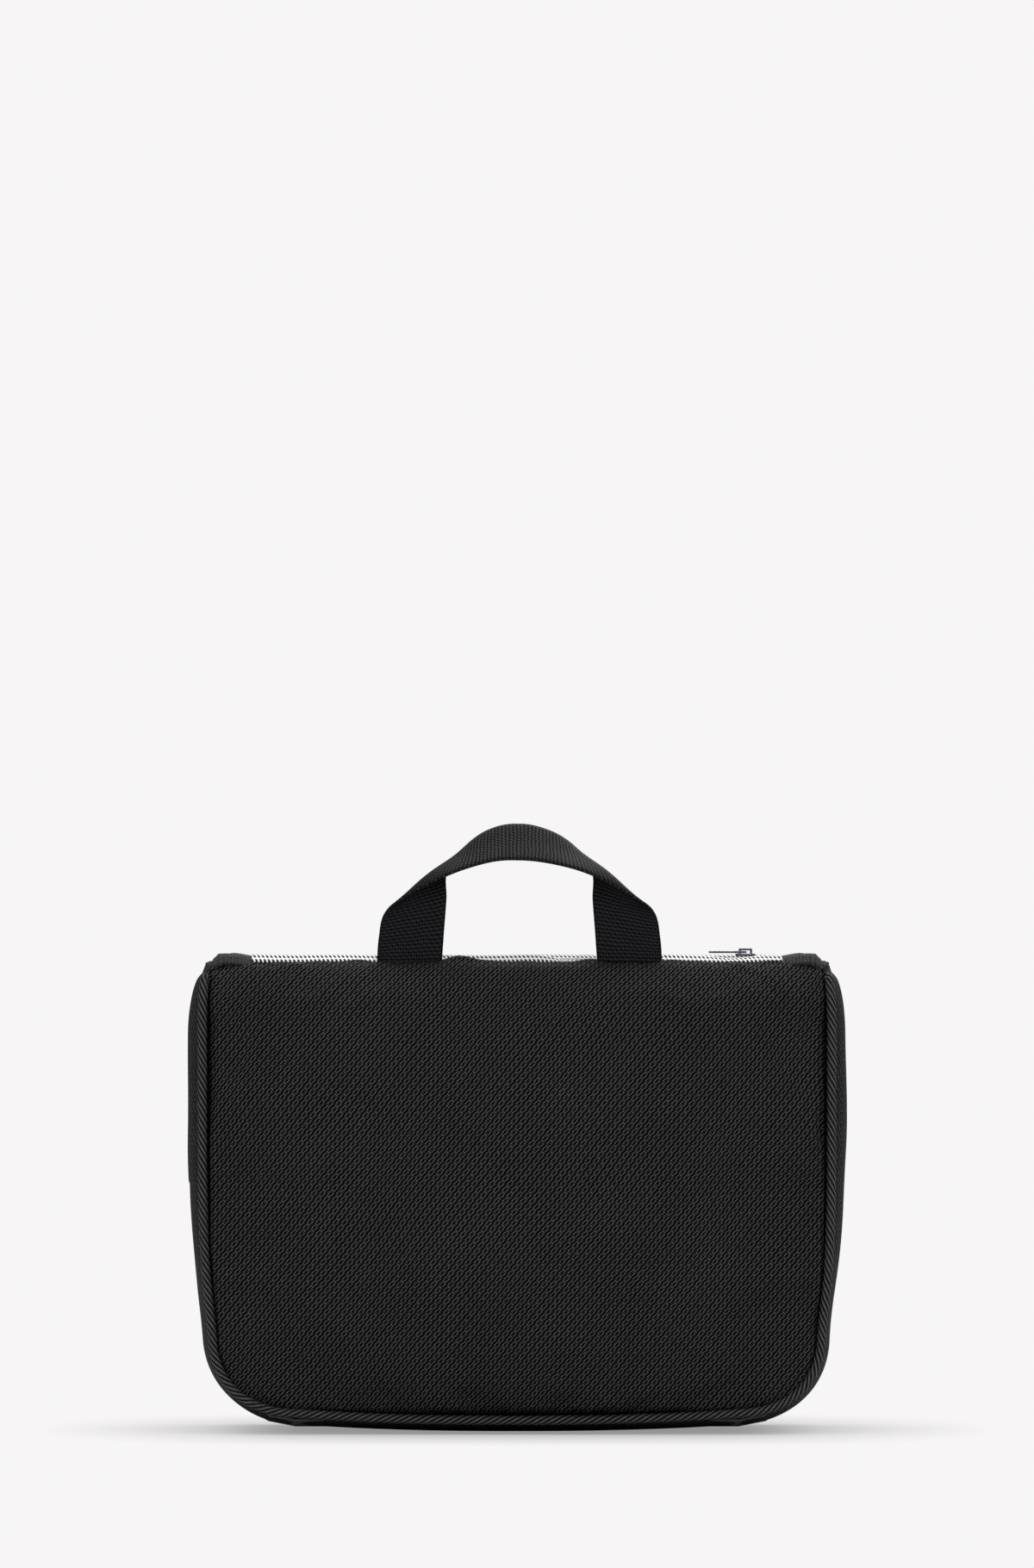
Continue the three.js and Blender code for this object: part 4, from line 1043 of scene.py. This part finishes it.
def top_grid(x0, x1, back, front, depth, spacing=1.5, across=14):
    xs = np.linspace(x0, x1, max(2, int((x1 - x0) / spacing)) + 1)
    ys = np.linspace(back, front, across + 1)
    return np.array([[[x, y, top_height(y) - depth] for y in ys] for x in xs])


TAPE_DIPS = ((82.0, 8.5, 1.3), (22.0, 9.0, 2.6))  # where the sliders behind it draw the rear tape down


def build_top():
    reach = END_TAB_X + 1.5
    for name, back, front, crest in (("rear", -25.9, ZIP_Y - 0.9, 0.5), ("front", ZIP_Y + 0.9, 0.6, 0.2)):
        outer = top_grid(-reach, reach, back, front, 0.2)
        x = outer[..., 0]
        share = (outer[..., 1] - back) / (front - back)
        ripple = crest * np.sin(math.pi * share) * (1 + 0.35 * np.sin(x / 23)) + 0.12 * np.sin(x / 6.1)
        outer[..., 2] += ripple
        if name == "rear":
            for middle, width, drop in TAPE_DIPS:
                dip = drop * np.exp(-((x - middle) / width) ** 2)
                outer[..., 2] -= dip * np.sin(math.pi * share) ** 0.8
        inner = outer - np.array([0, 0, 0.7])
        tape = sheet(f"top_zip_tape_{name}_cloth", outer, inner, pale_tape)
        place(tape, "bag_body", "pale_tape", f"top_zip_tape_{name}")

    for name, side in (("rear", -1), ("front", 1)):
        turns = 2 * reach / 1.6
        t = np.linspace(0, 1, int(turns * 10))
        angle = 2 * math.pi * turns * t
        x = -reach + 2 * reach * t
        y = ZIP_Y + side * (0.75 + 0.75 * np.cos(angle))
        z = top_height(ZIP_Y) - 0.25 + 0.55 * np.sin(angle)
        coil = tube(f"top_zip_coil_{name}_spiral", np.stack([x, y, z], axis=1), 0.3, pale_coil, sides=6)
        place(coil, "bag_body", "pale_coil", f"top_zip_coil_{name}")

    for name, side in (("left", -1), ("right", 1)):
        build_end_tab(name, side)

    strip = wall_sheet("top_strip_cloth", gusset_fabric, GUSSET_END + 0.02, LOOP - GUSSET_END - 0.02, 0.0,
                       BODY_EDGE_Y, spacing=2.5, across=6)
    place(strip, "bag_body", "outer_fabric", "top_strip")
    seam = [[x, 1.6, top_height(1.6) + 0.05] for x in np.linspace(-98, 98, 60)]
    stitches = stitch_row("top_strip_stitches", seam, lambda p: (0, 0, 1), thread_dark)
    place(stitches, "bag_body", "outer_fabric")


def build_end_tab(name, side):
    """A smooth fabric tab over each zip end, its inner end folded under into a soft roll."""
    stations = np.linspace(0, 1, 40)
    ys = np.linspace(-28.6, 0.2, 24)
    outer = []
    for a in stations:
        row = []
        for y in ys:
            last = 5 - (END_TAB_X - 0.3) / (SEAM_HALF_WIDTH - top_shape(y)[0])
            x, z, nx, nz, offset = wall_frame(side * lerp(GUSSET_END - 0.25, last, a), y)
            fold = 0.6 * math.exp(-((a - 0.9) / 0.07) ** 2) - 0.8 * smoothstep(a, 0.92, 1.0)
            crease = -0.6 * math.exp(-((a - 0.68 - 0.004 * (y + 13)) / 0.025) ** 2)
            puff_up = 0.35 * math.sin(math.pi * clamp(a / 0.85)) + 0.25
            tucked = -4.2 * (1 - smoothstep(a, 0.0, 0.6))
            out = offset + fold + crease + puff_up + tucked
            row.append([x + nx * out, y, z + nz * out])
        outer.append(row)
    outer = np.array(outer)
    inner = outer - 1.2 * grid_normals(outer, outer - np.array([0, -10, 150.0]))
    tab = sheet(f"end_tab_{name}_cloth", outer, inner, tab_fabric)
    place(tab, "bag_body", "tab_fabric", f"end_tab_{name}")
    rows = []
    for y in (-24.6, -1.2):
        j = int(np.argmin(np.abs(ys - y)))
        rows.append(outer[16:38, j] + np.array([0, 0, 0.1]))
    for end, row in zip(("rear", "front"), rows):
        stitches = stitch_row(f"end_tab_{name}_stitches_{end}", row, lambda p: (0, 0, 1), thread_grey,
                              length=1.8, gap=0.5, radius=0.2)
        place(stitches, "bag_body", "tab_fabric")


# -------- cover zip and fold line

ZIP_START = 1.75
FOLD_END = 1.75
COIL_PITCH = 1.5


def wall_coil(name, side, depth, body, node):
    """A zip coil half that runs round the wall, its spiral flattened along the wall."""
    stations = loop_stations(ZIP_START, LOOP - ZIP_START, 0.5)
    line = np.array([wall_point(s, SPLIT_Y, depth) for s in stations])
    length = distances(line)
    turns = length[-1] / COIL_PITCH
    at = np.linspace(0, length[-1], int(turns * 8))
    station_at = np.interp(at, length, stations)
    angle = 2 * math.pi * at / COIL_PITCH
    path = []
    for s, a in zip(station_at, angle):
        y = SPLIT_Y + side * (0.65 + 0.62 * math.cos(a))
        path.append(wall_point(s, y, depth + 0.25 - 0.45 * math.sin(a)))
    coil = tube(name, path, 0.26, dark_coil, sides=5)
    place(coil, body, "coil_plastic", node)


def build_cover_zip():
    parts = (("body_zip_tape", 8.0, SPLIT_Y - 0.9, 0.15, "bag_body"),
             ("cover_zip_tape", SPLIT_Y + 0.9, COVER_EDGE_Y, COVER_LIFT + 0.15, "front_cover"))
    for node, back, front, depth, body in parts:
        tape = wall_sheet(f"{node}_cloth", dark_tape, ZIP_START, LOOP - ZIP_START, back, front,
                          outer=depth, inner=depth + 0.7, spacing=3, across=4)
        place(tape, body, "dark_tape", node)
    wall_coil("body_zip_coil_spiral", -1, 0.2, "bag_body", "body_zip_coil")
    wall_coil("cover_zip_coil_spiral", 1, 0.3, "front_cover", "cover_zip_coil")
    for name, y, body, depth in (("body", 9.4, "bag_body", 0.1), ("cover", 20.4, "front_cover", 0.45)):
        line = [wall_point(s, y, depth) for s in loop_stations(1.9, 8.1, 2)]
        row = stitch_row(f"{name}_zip_stitches", line, lambda p: (p[0], 0, p[2] - 90), thread_dark)
        place(row, body, "outer_fabric")

    fold = wall_sheet("fold_line_cloth", gusset_fabric, -FOLD_END, FOLD_END, 8.0, COVER_EDGE_Y,
                      outer=0.15, inner=1.1, spacing=3, across=22)
    bend(fold, ("hinge_binding", "cover_hinge_strip"))


# -------- carry handle

HANDLE_OUTER = [
    [-53.3, -26, 178.0], [-52.6, -26, 188], [-50.4, -27, 197.5], [-42.4, -31, 203.9],
    [-26.3, -35, 212.4], [-12, -36.3, 216.9], [0, -36.5, 218.2],
]
HANDLE_INNER = [
    [-28.6, -26, 178.0], [-27.7, -25.8, 191], [-26.8, -25, 203], [-26.6, -22.8, 213.3],
    [-20.5, -18.8, 221.8], [-11.5, -16.2, 228.3], [0, -15.5, 231.0],
]


RIGHT_LEG_SHIFT = 1.9  # the right leg is sewn a little further out than the left
TURN_X, TURN_REACH, TURN_CAMBER = 39.5, 11.0, 2.1  # the webbing arches where a leg turns into the grip


def mirrored(half):
    left = np.array(half, float)
    return np.vstack([left, (left * [-1, 1, 1])[:-1][::-1]])


def build_handle():
    lower = smooth_curve(mirrored(HANDLE_OUTER), 18)
    upper = smooth_curve(mirrored(HANDLE_INNER), 18)
    shift = np.array([RIGHT_LEG_SHIFT, 0, 0])
    lower, upper = lower + shift * (lower[:, :1] > 0), upper + shift * (upper[:, :1] > 0)
    widths = np.linspace(0, 1, 15)
    grid = lower[:, None] * (1 - widths)[None, :, None] + upper[:, None] * widths[None, :, None]
    normals = grid_normals(grid, np.array([0, 1.0, -0.3]))
    for i in range(1, len(normals)):
        agree = np.sign((normals[i] * normals[i - 1]).sum(axis=1, keepdims=True))
        normals[i] *= np.where(agree == 0, 1, agree)
    edge = np.sin(math.pi * np.clip(widths, 0.02, 0.98)) ** 0.18
    curl = 0.5 * np.cos(math.pi * (widths * 2 - 1)) * -1
    t = np.linspace(0, 1, len(grid))
    sag = 0.25 * np.sin(t * 31) + 0.2 * np.sin(t * 17 + 1)
    turning = np.exp(-((np.abs(lower[:, 0]) - TURN_X) / TURN_REACH) ** 2)
    camber = TURN_CAMBER * turning[:, None] * np.sin(math.pi * widths)[None, :]
    grid = grid + normals * (0.4 * curl[None, :] + 0.6 * sag[:, None] + camber)[..., None]
    half = WEBBING_THICKNESS / 2
    outer = grid + normals * half * edge[None, :, None]
    inner = grid - normals * half * edge[None, :, None]
    uv = flat_grid(distances((lower + upper) / 2), (widths - 0.5) * WEBBING_WIDTH)
    strip = sheet("carry_handle_webbing", outer, inner, webbing, uv=uv)
    bend(strip, ("carry_handle",))


# -------- sliders and pulls

def rounded_copy(node, name, material, bevel, slot, body):
    """A CAD node's form with its edges rounded over."""
    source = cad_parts[node]
    piece = bpy.data.objects.new(name, source.data.copy())
    bpy.context.scene.collection.objects.link(piece)
    piece.data.materials.clear()
    piece.data.materials.append(material)
    weld = piece.modifiers.new("weld", "WELD")
    weld.merge_threshold = 1e-5
    flat = piece.modifiers.new("flat", "DECIMATE")
    set_all(flat, decimate_type="DISSOLVE", angle_limit=math.radians(2))
    edges = piece.modifiers.new("edges", "BEVEL")
    set_all(edges, width=bevel * MM, segments=3, limit_method="ANGLE", angle_limit=math.radians(35),
            use_clamp_overlap=True)
    settle(piece)
    piece.data.polygons.foreach_set("use_smooth", [True] * len(piece.data.polygons))
    return place(piece, body, slot, node)


def settle(piece):
    """Applies every modifier on a piece."""
    graph = bpy.context.evaluated_depsgraph_get()
    graph.update()
    final = bpy.data.meshes.new_from_object(piece.evaluated_get(graph))
    piece.modifiers.clear()
    piece.data = final


def build_sliders():
    for prefix, suffix, body in (("top", "", "top_zip"), ("cover", "_left", "cover_zip"),
                                 ("cover", "_right", "cover_zip"), ("organiser", "", "organiser_zip")):
        for part, bevel in (("slider", 0.22), ("pull", 0.16)):
            node = f"{prefix}_{part}{suffix}"
            moves_with = f"{body}_{part}{suffix}"
            rounded_copy(node, f"{node}_cast", slider_metal, bevel, "slider_metal", moves_with)


# -------- organiser

def bulged(half_width, bottom, top, y, bulge, outwards, open_top):
    """A pocket's face: it stands off by bulge in the middle, and along its top if that is open."""
    rows, columns, thickness = 60, 30, 0.6
    a = np.linspace(-1, 1, rows)[:, None]
    b = np.linspace(0, 1, columns)[None, :]
    across = 1 - np.abs(a) ** 4
    height = lerp(1 - (2 * b - 1) ** 4, np.ones_like(b), open_top * b)
    stand = bulge * across * height
    gathers = 0.35 * np.sin(a * 46) * b ** 2 * across
    shape = (rows, columns)
    x = np.broadcast_to(a * half_width, shape)
    z = np.broadcast_to(lerp(bottom, top, b), shape)
    outer = np.stack([x, y + outwards * (stand + gathers), z], axis=-1)
    return outer, outer - np.array([0, outwards * thickness, 0])


def frame_outline(inset, y):
    """The wall's outline at one depth, held in by inset."""
    return np.array([wall_point(s, y, inset) for s in loop_stations(-5, 5, 3.0)[:-1]])


def build_divider():
    rim = frame_outline(3.2, DIVIDER_FRONT_Y - 1)
    centre = np.array([0.0, 0.0, 88.0])
    shares = np.concatenate([np.linspace(0, 0.9, 16), [0.95, 0.98, 1.0]])
    layers = []
    for y, outwards in ((DIVIDER_FRONT_Y, 1), (DIVIDER_FRONT_Y - 2.5, -1)):
        rings = []
        for share in shares[1:]:
            ring = centre + (rim - centre) * share
            fall = 0.9 * max(0.0, (share - 0.9) / 0.1) ** 2
            quilt = 0.25 * np.sin(ring[:, 0] / 12.5) * np.sin(ring[:, 2] / 12.5)
            ring[:, 1] = y - outwards * fall - 0.3 + quilt * (1 - share) * outwards * 0.2
            rings.append(ring)
        layers.append((np.array([0.0, y - 0.3, centre[2]]), np.array(rings)))
    points, faces = [], []
    count = len(rim)
    for index, (middle, rings) in enumerate(layers):
        first = len(points)
        points.append(middle)
        points.extend(rings.reshape(-1, 3))
        fan = [(first, first + 1 + k, first + 1 + (k + 1) % count) for k in range(count)]
        body = grid_faces(len(rings), count, first + 1, looped_columns=True)
        faces += fan + body if index == 0 else [f[::-1] for f in fan + body]
    last = 1 + (len(shares) - 2) * count
    offset = 1 + (len(shares) - 1) * count
    for k in range(count):
        a, b = last + k, last + (k + 1) % count
        faces.append((a, a + offset, b + offset, b))
    points = np.array(points)
    divider = make_piece("divider_cloth", points, outward(points, faces), lining, points[:, [0, 2]])
    place(divider, "bag_body", "lining", "divider_panel")


def build_organiser():
    build_divider()
    low, high = node_box("organiser_pocket")
    outer, inner = bulged(high[0], low[2], high[2], DIVIDER_FRONT_Y + 0.9, 4.5, 1, 0)
    net = sheet("organiser_pocket_net", outer, inner, netting)
    place(net, "bag_body", "mesh_fabric", "organiser_pocket")
    low, high = node_box("organiser_zip_tape")
    xs = np.linspace(low[0], high[0], 90)
    zs = np.linspace(low[2], high[2], 8)
    face = np.array([[[x, high[1] + 0.08 * math.sin(x / 7), z] for z in zs] for x in xs])
    tape = sheet("organiser_zip_tape_cloth", face, face - np.array([0, 0.6, 0]), dark_tape)
    place(tape, "bag_body", "dark_tape", "organiser_zip_tape")
    low, high = node_box("organiser_zip_coil")
    middle = (low + high) / 2
    reach, pitch = high[0], 1.4
    t = np.linspace(0, 1, int(2 * reach / pitch * 9))
    angle = 2 * math.pi * t * 2 * reach / pitch
    path = np.stack([-reach + 2 * reach * t, middle[1] + 0.25 * np.sin(angle),
                     middle[2] + 0.65 * np.cos(angle)], axis=1)
    place(tube("organiser_zip_coil_spiral", path, 0.24, dark_coil, sides=5),
          "bag_body", "coil_plastic", "organiser_zip_coil")
    for z in (75.4, 84.2):
        row = [[x, DIVIDER_FRONT_Y + 0.95, z] for x in np.linspace(-93, 93, 40)]
        stitches = stitch_row(f"organiser_stitches_{int(z)}", row, lambda p: (0, 1, 0), thread_grey)
        place(stitches, "bag_body", "outer_fabric")
    for name in ("left", "right"):
        build_elastic(name)


def build_elastic(name):
    node = f"elastic_loops_{name}"
    low, high = node_box(node)
    xs = np.linspace(low[0], high[0], 110)
    zs = np.linspace(low[2], high[2], 8)
    phase = (xs - low[0]) / (high[0] - low[0]) * 4 * math.pi
    stand = 1.1 + 3.0 * np.abs(np.sin(phase)) ** 0.8
    outer = np.array([[[x, DIVIDER_FRONT_Y + s, z] for z in zs] for x, s in zip(xs, stand)])
    inner = outer - np.array([0, 0.8, 0])
    band = sheet(f"{node}_band", outer, inner, elastic)
    place(band, "bag_body", "elastic", node)


def build_cover_pocket():
    low, high = node_box("cover_mesh_pocket")
    outer, inner = bulged(high[0], low[2], high[2], 28.2, 1.2, -1, 1)
    net = sheet("cover_pocket_net", outer, inner, netting)
    place(net, "front_cover", "mesh_fabric", "cover_mesh_pocket")
    low, high = node_box("cover_pocket_binding")
    xs = np.linspace(low[0], high[0], 90)
    middle = (low + high) / 2
    points, sides = [], 14
    for x in xs:
        gather = 0.25 * math.sin(x / 2.2)
        for angle in np.linspace(0, 2 * math.pi, sides, endpoint=False):
            c, s = math.cos(angle), math.sin(angle)
            y = middle[1] + (0.9 + 0.15 * gather) * math.copysign(abs(c) ** 0.6, c)
            z = middle[2] + 2.3 * math.copysign(abs(s) ** 0.5, s) + gather * 0.3
            points.append([x, y, z])
    rings = np.array(points).reshape(len(xs), sides, 3)
    band = ringed_piece("cover_pocket_elastic", rings, elastic)
    place(band, "front_cover", "elastic", "cover_pocket_binding")


# -------- hook

HOOK_BEND = [
    [0, 156], [0, 145], [0, 135], [2.5, 125], [11, 115], [15, 103], [10.6, 92.4], [0, 88],
    [-10.6, 92.4], [-14.5, 101],
]


HOOK_PIN = [  # (radius, height): a flange under the collar, the shank through it and a head on top
    (1.4, 150), (3.2, 150.2), (3.5, 151.5), (3.5, 153), (1.7, 153.4), (1.7, 160.2), (2.8, 160.4),
    (3.0, 161), (2.6, 161.8), (0.8, 162),
]


def turned(name, profile, material, sides=40):
    """A form turned about the hook's shank; profile is (radius, z) from the bottom to the top."""
    points = []
    for radius, z in profile:
        for angle in np.linspace(0, 2 * math.pi, sides, endpoint=False):
            points.append([radius * math.cos(angle), HOOK_Y + radius * math.sin(angle), z])
    return ringed_piece(name, np.array(points).reshape(len(profile), sides, 3), material)


def build_hook():
    path = smooth_curve([[x, HOOK_Y, z] for x, z in HOOK_BEND], 14)
    taper = np.ones(len(path))
    taper[-10:] = np.sqrt(np.clip(np.linspace(1, 0.12, 10), 0, 1))
    points, sides = [], 16
    tangents = np.gradient(path, axis=0)
    for i, centre in enumerate(path):
        tangent = tangents[i] / np.linalg.norm(tangents[i])
        side = np.cross(tangent, [0, 1, 0])
        for angle in np.linspace(0, 2 * math.pi, sides, endpoint=False):
            c, s = math.cos(angle), math.sin(angle)
            across = 2.1 * math.copysign(abs(c) ** 0.75, c)
            deep = 2.3 * math.copysign(abs(s) ** 0.75, s)
            points.append(centre + taper[i] * (across * side + deep * np.array([0, 1.0, 0])))
    arm = ringed_piece("hook_arm_moulding", np.array(points).reshape(len(path), sides, 3), hook_plastic)
    place(arm, "hook_arm", "hook_plastic", "hook")
    place(turned("hook_pin", HOOK_PIN, hook_plastic), "hook_arm", "hook_plastic")
    rounded_copy("hook_collar", "hook_collar_moulding", hook_plastic, 0.4, "hook_plastic", "hook_loop")
    build_hook_webbing()


def build_hook_webbing():
    """The webbing loop round the collar's bar, and the stack sewn to the divider."""
    low, high = node_box("hook_tab")
    xs = np.linspace(low[0], high[0], 16)
    half, bottom_z = 2.5, 166.0
    outline = [(-half, z) for z in np.linspace(HOOK_FOLD_Z, bottom_z, 6)]
    for angle in np.linspace(0.2, math.pi - 0.2, 12):
        outline.append((-half * math.cos(angle), bottom_z - half * math.sin(angle)))
    outline += [(half, z) for z in np.linspace(bottom_z, HOOK_FOLD_Z, 6)]
    outline = np.array(outline)
    inner_line = outline.copy()
    inner_line[:, 0] *= 1.6 / half
    shrink = np.where(inner_line[:, 1] < bottom_z, 1.6 / half, 0.55)
    inner_line[:, 1] = np.minimum(168.6, bottom_z + (inner_line[:, 1] - bottom_z) * shrink)
    outer = np.array([[[x, HOOK_Y + y, z] for y, z in outline] for x in xs])
    inner = np.array([[[x, HOOK_Y + y, z] for y, z in inner_line] for x in xs])
    uv = flat_grid(xs, np.linspace(0, 18, len(outline)))[..., ::-1]
    loop = sheet("hook_loop_webbing", outer, inner, webbing, uv=uv)
    place(loop, "hook_loop", "webbing", "hook_tab")
    low, high = node_box("hook_anchor")
    xs = np.linspace(low[0], high[0], 16)
    zs = np.linspace(low[2], high[2], 14)
    sag = [0.5 * abs(2 * (z - low[2]) / (high[2] - low[2]) - 1) ** 4 for z in zs]
    face = np.array([[[x, high[1] - dip, z] for z, dip in zip(zs, sag)] for x in xs])
    back = face.copy()
    back[..., 1] = low[1]
    uv = flat_grid(xs, zs)[..., ::-1]
    place(sheet("hook_anchor_webbing", face, back, webbing, uv=uv), "bag_body", "webbing", "hook_anchor")
    path = []
    corners = [(-8, 163.2), (8, 163.2), (8, 168.6), (-8, 168.6), (-8, 163.2), (8, 168.6)]
    for (x0, z0), (x1, z1) in zip(corners[:-1], corners[1:]):
        path += [[lerp(x0, x1, t), high[1] + 0.02, lerp(z0, z1, t)] for t in np.linspace(0, 1, 8)[:-1]]
    stitches = stitch_row("hook_anchor_stitches", path, lambda p: (0, 1, 0), thread_grey,
                          length=1.6, gap=0.5)
    place(stitches, "bag_body", "webbing")


# -------- stage

CAMERA_ELEVATION = math.radians(2.6)
CAMERA_DISTANCE = 6.0
AIM_Z = 90.0  # the camera and the lamps are turned towards this height
IMAGE_WIDTH, IMAGE_HEIGHT = 1200, 1820
BAG_SHARE_OF_WIDTH = 0.635
BASE_FROM_TOP = 0.9111  # share of the picture's height above the bag's base
PALE = (0.93, 0.914, 0.921)
FLOOR_Z = -0.4


def build_stage():
    world = bpy.context.scene.world or bpy.data.worlds.new("studio")
    bpy.context.scene.world = world
    world.use_nodes = True
    tree = world.node_tree
    tree.nodes.clear()
    paths = tree.nodes.new("ShaderNodeLightPath")
    seen = tree.nodes.new("ShaderNodeBackground")
    seen.inputs["Color"].default_value = (*PALE, 1)
    around = tree.nodes.new("ShaderNodeBackground")
    around.inputs["Color"].default_value = (1, 1, 1, 1)
    around.inputs["Strength"].default_value = 0.5
    mix = tree.nodes.new("ShaderNodeMixShader")
    output = tree.nodes.new("ShaderNodeOutputWorld")
    tree.links.new(paths.outputs["Is Camera Ray"], mix.inputs[0])
    tree.links.new(around.outputs[0], mix.inputs[1])
    tree.links.new(seen.outputs[0], mix.inputs[2])
    tree.links.new(mix.outputs[0], output.inputs["Surface"])
    build_floor()
    build_lights()
    build_camera()
    bpy.context.scene.view_settings.view_transform = "Standard"


FLOOR_RADIUS = 1500.0
CONTACT_REACH = 70.0  # how far the floor's painted contact shadow reaches round the bag
SHADOW = grey(0.32)  # painted shadow: the floor's tint where the bag shuts out all light


def build_floor():
    """A pale floor, the backdrop's own tone. All that shows of it is the soft shadow under the bag, a
    painted shadow from ambient occlusion, not cast by the lamps.

    The eye and the lamps see through it, so the cover can be seen when it hangs below it.
    """
    sides = 48
    angles = np.linspace(0, 2 * math.pi, sides, endpoint=False)
    points = [[FLOOR_RADIUS * math.cos(a), FLOOR_RADIUS * math.sin(a), FLOOR_Z] for a in angles]
    s = Shader("floor_painted_shadow")
    s.finish((0.8, 0.8, 0.8, 1), roughness=0.9, specular=0.0)
    # painted shadow: ambient occlusion by the bag tints the floor darker round it
    contact = s.node("ShaderNodeAmbientOcclusion", samples=16)
    contact.inputs["Distance"].default_value = CONTACT_REACH * MM
    paths = s.node("ShaderNodeLightPath")
    tint = s.node("ShaderNodeBsdfTransparent")
    shaded = s.blend_colour(contact.outputs["AO"], SHADOW, grey(1.0))
    s.link(s.blend_colour(paths.outputs["Is Shadow Ray"], shaded, grey(1.0)), tint.inputs["Color"])
    seen = s.math("MAXIMUM", paths.outputs["Is Camera Ray"], paths.outputs["Is Shadow Ray"])
    s.see_through(seen, tint)
    make_piece("floor", points, [tuple(range(sides))], s.material)


def area_light(name, place_mm, target_mm, size_mm, watts):
    light = bpy.data.lights.new(name, "AREA")
    light.shape = "RECTANGLE"
    light.size, light.size_y = size_mm[0] * MM, size_mm[1] * MM
    light.energy = watts
    lamp = bpy.data.objects.new(name, light)
    lamp.location = Vector(place_mm) * MM
    aim = (Vector(target_mm) - Vector(place_mm)).normalized()
    lamp.rotation_euler = aim.to_track_quat("-Z", "Y").to_euler()
    bpy.context.scene.collection.objects.link(lamp)


def build_lights():
    middle = (0, 0, AIM_Z)
    area_light("key", (900, -1500, 1300), middle, (900, 900), 11)
    area_light("fill", (-1300, -1200, 700), middle, (1200, 1200), 5)
    area_light("overhead", (0, 100, 1500), middle, (1400, 1000), 12)
    area_light("back_fill", (300, 1500, 900), middle, (1200, 1000), 9)


def build_camera():
    framed = (cad_box[1][0] - cad_box[0][0]) / BAG_SHARE_OF_WIDTH
    camera = bpy.data.cameras.new("camera")
    camera.sensor_fit = "HORIZONTAL"
    camera.sensor_width = 36
    camera.lens = camera.sensor_width * CAMERA_DISTANCE / framed
    camera.clip_end = 50
    eye = bpy.data.objects.new("camera", camera)
    target = Vector((0, 0, AIM_Z * MM))
    away = Vector((0, -math.cos(CAMERA_ELEVATION), math.sin(CAMERA_ELEVATION)))
    eye.location = target + away * CAMERA_DISTANCE
    eye.rotation_euler = (-away).to_track_quat("-Z", "Y").to_euler()
    base_below_middle = (BASE_FROM_TOP - 0.5) * IMAGE_HEIGHT / IMAGE_WIDTH
    camera.shift_y = base_below_middle - AIM_Z * MM * math.cos(CAMERA_ELEVATION) / framed
    bpy.context.scene.collection.objects.link(eye)
    bpy.context.scene.camera = eye


build_body_shell()
build_top()
build_cover_zip()
build_cover_shell()
build_handle()
build_sliders()
build_organiser()
build_cover_pocket()
build_hook()
build_stage()
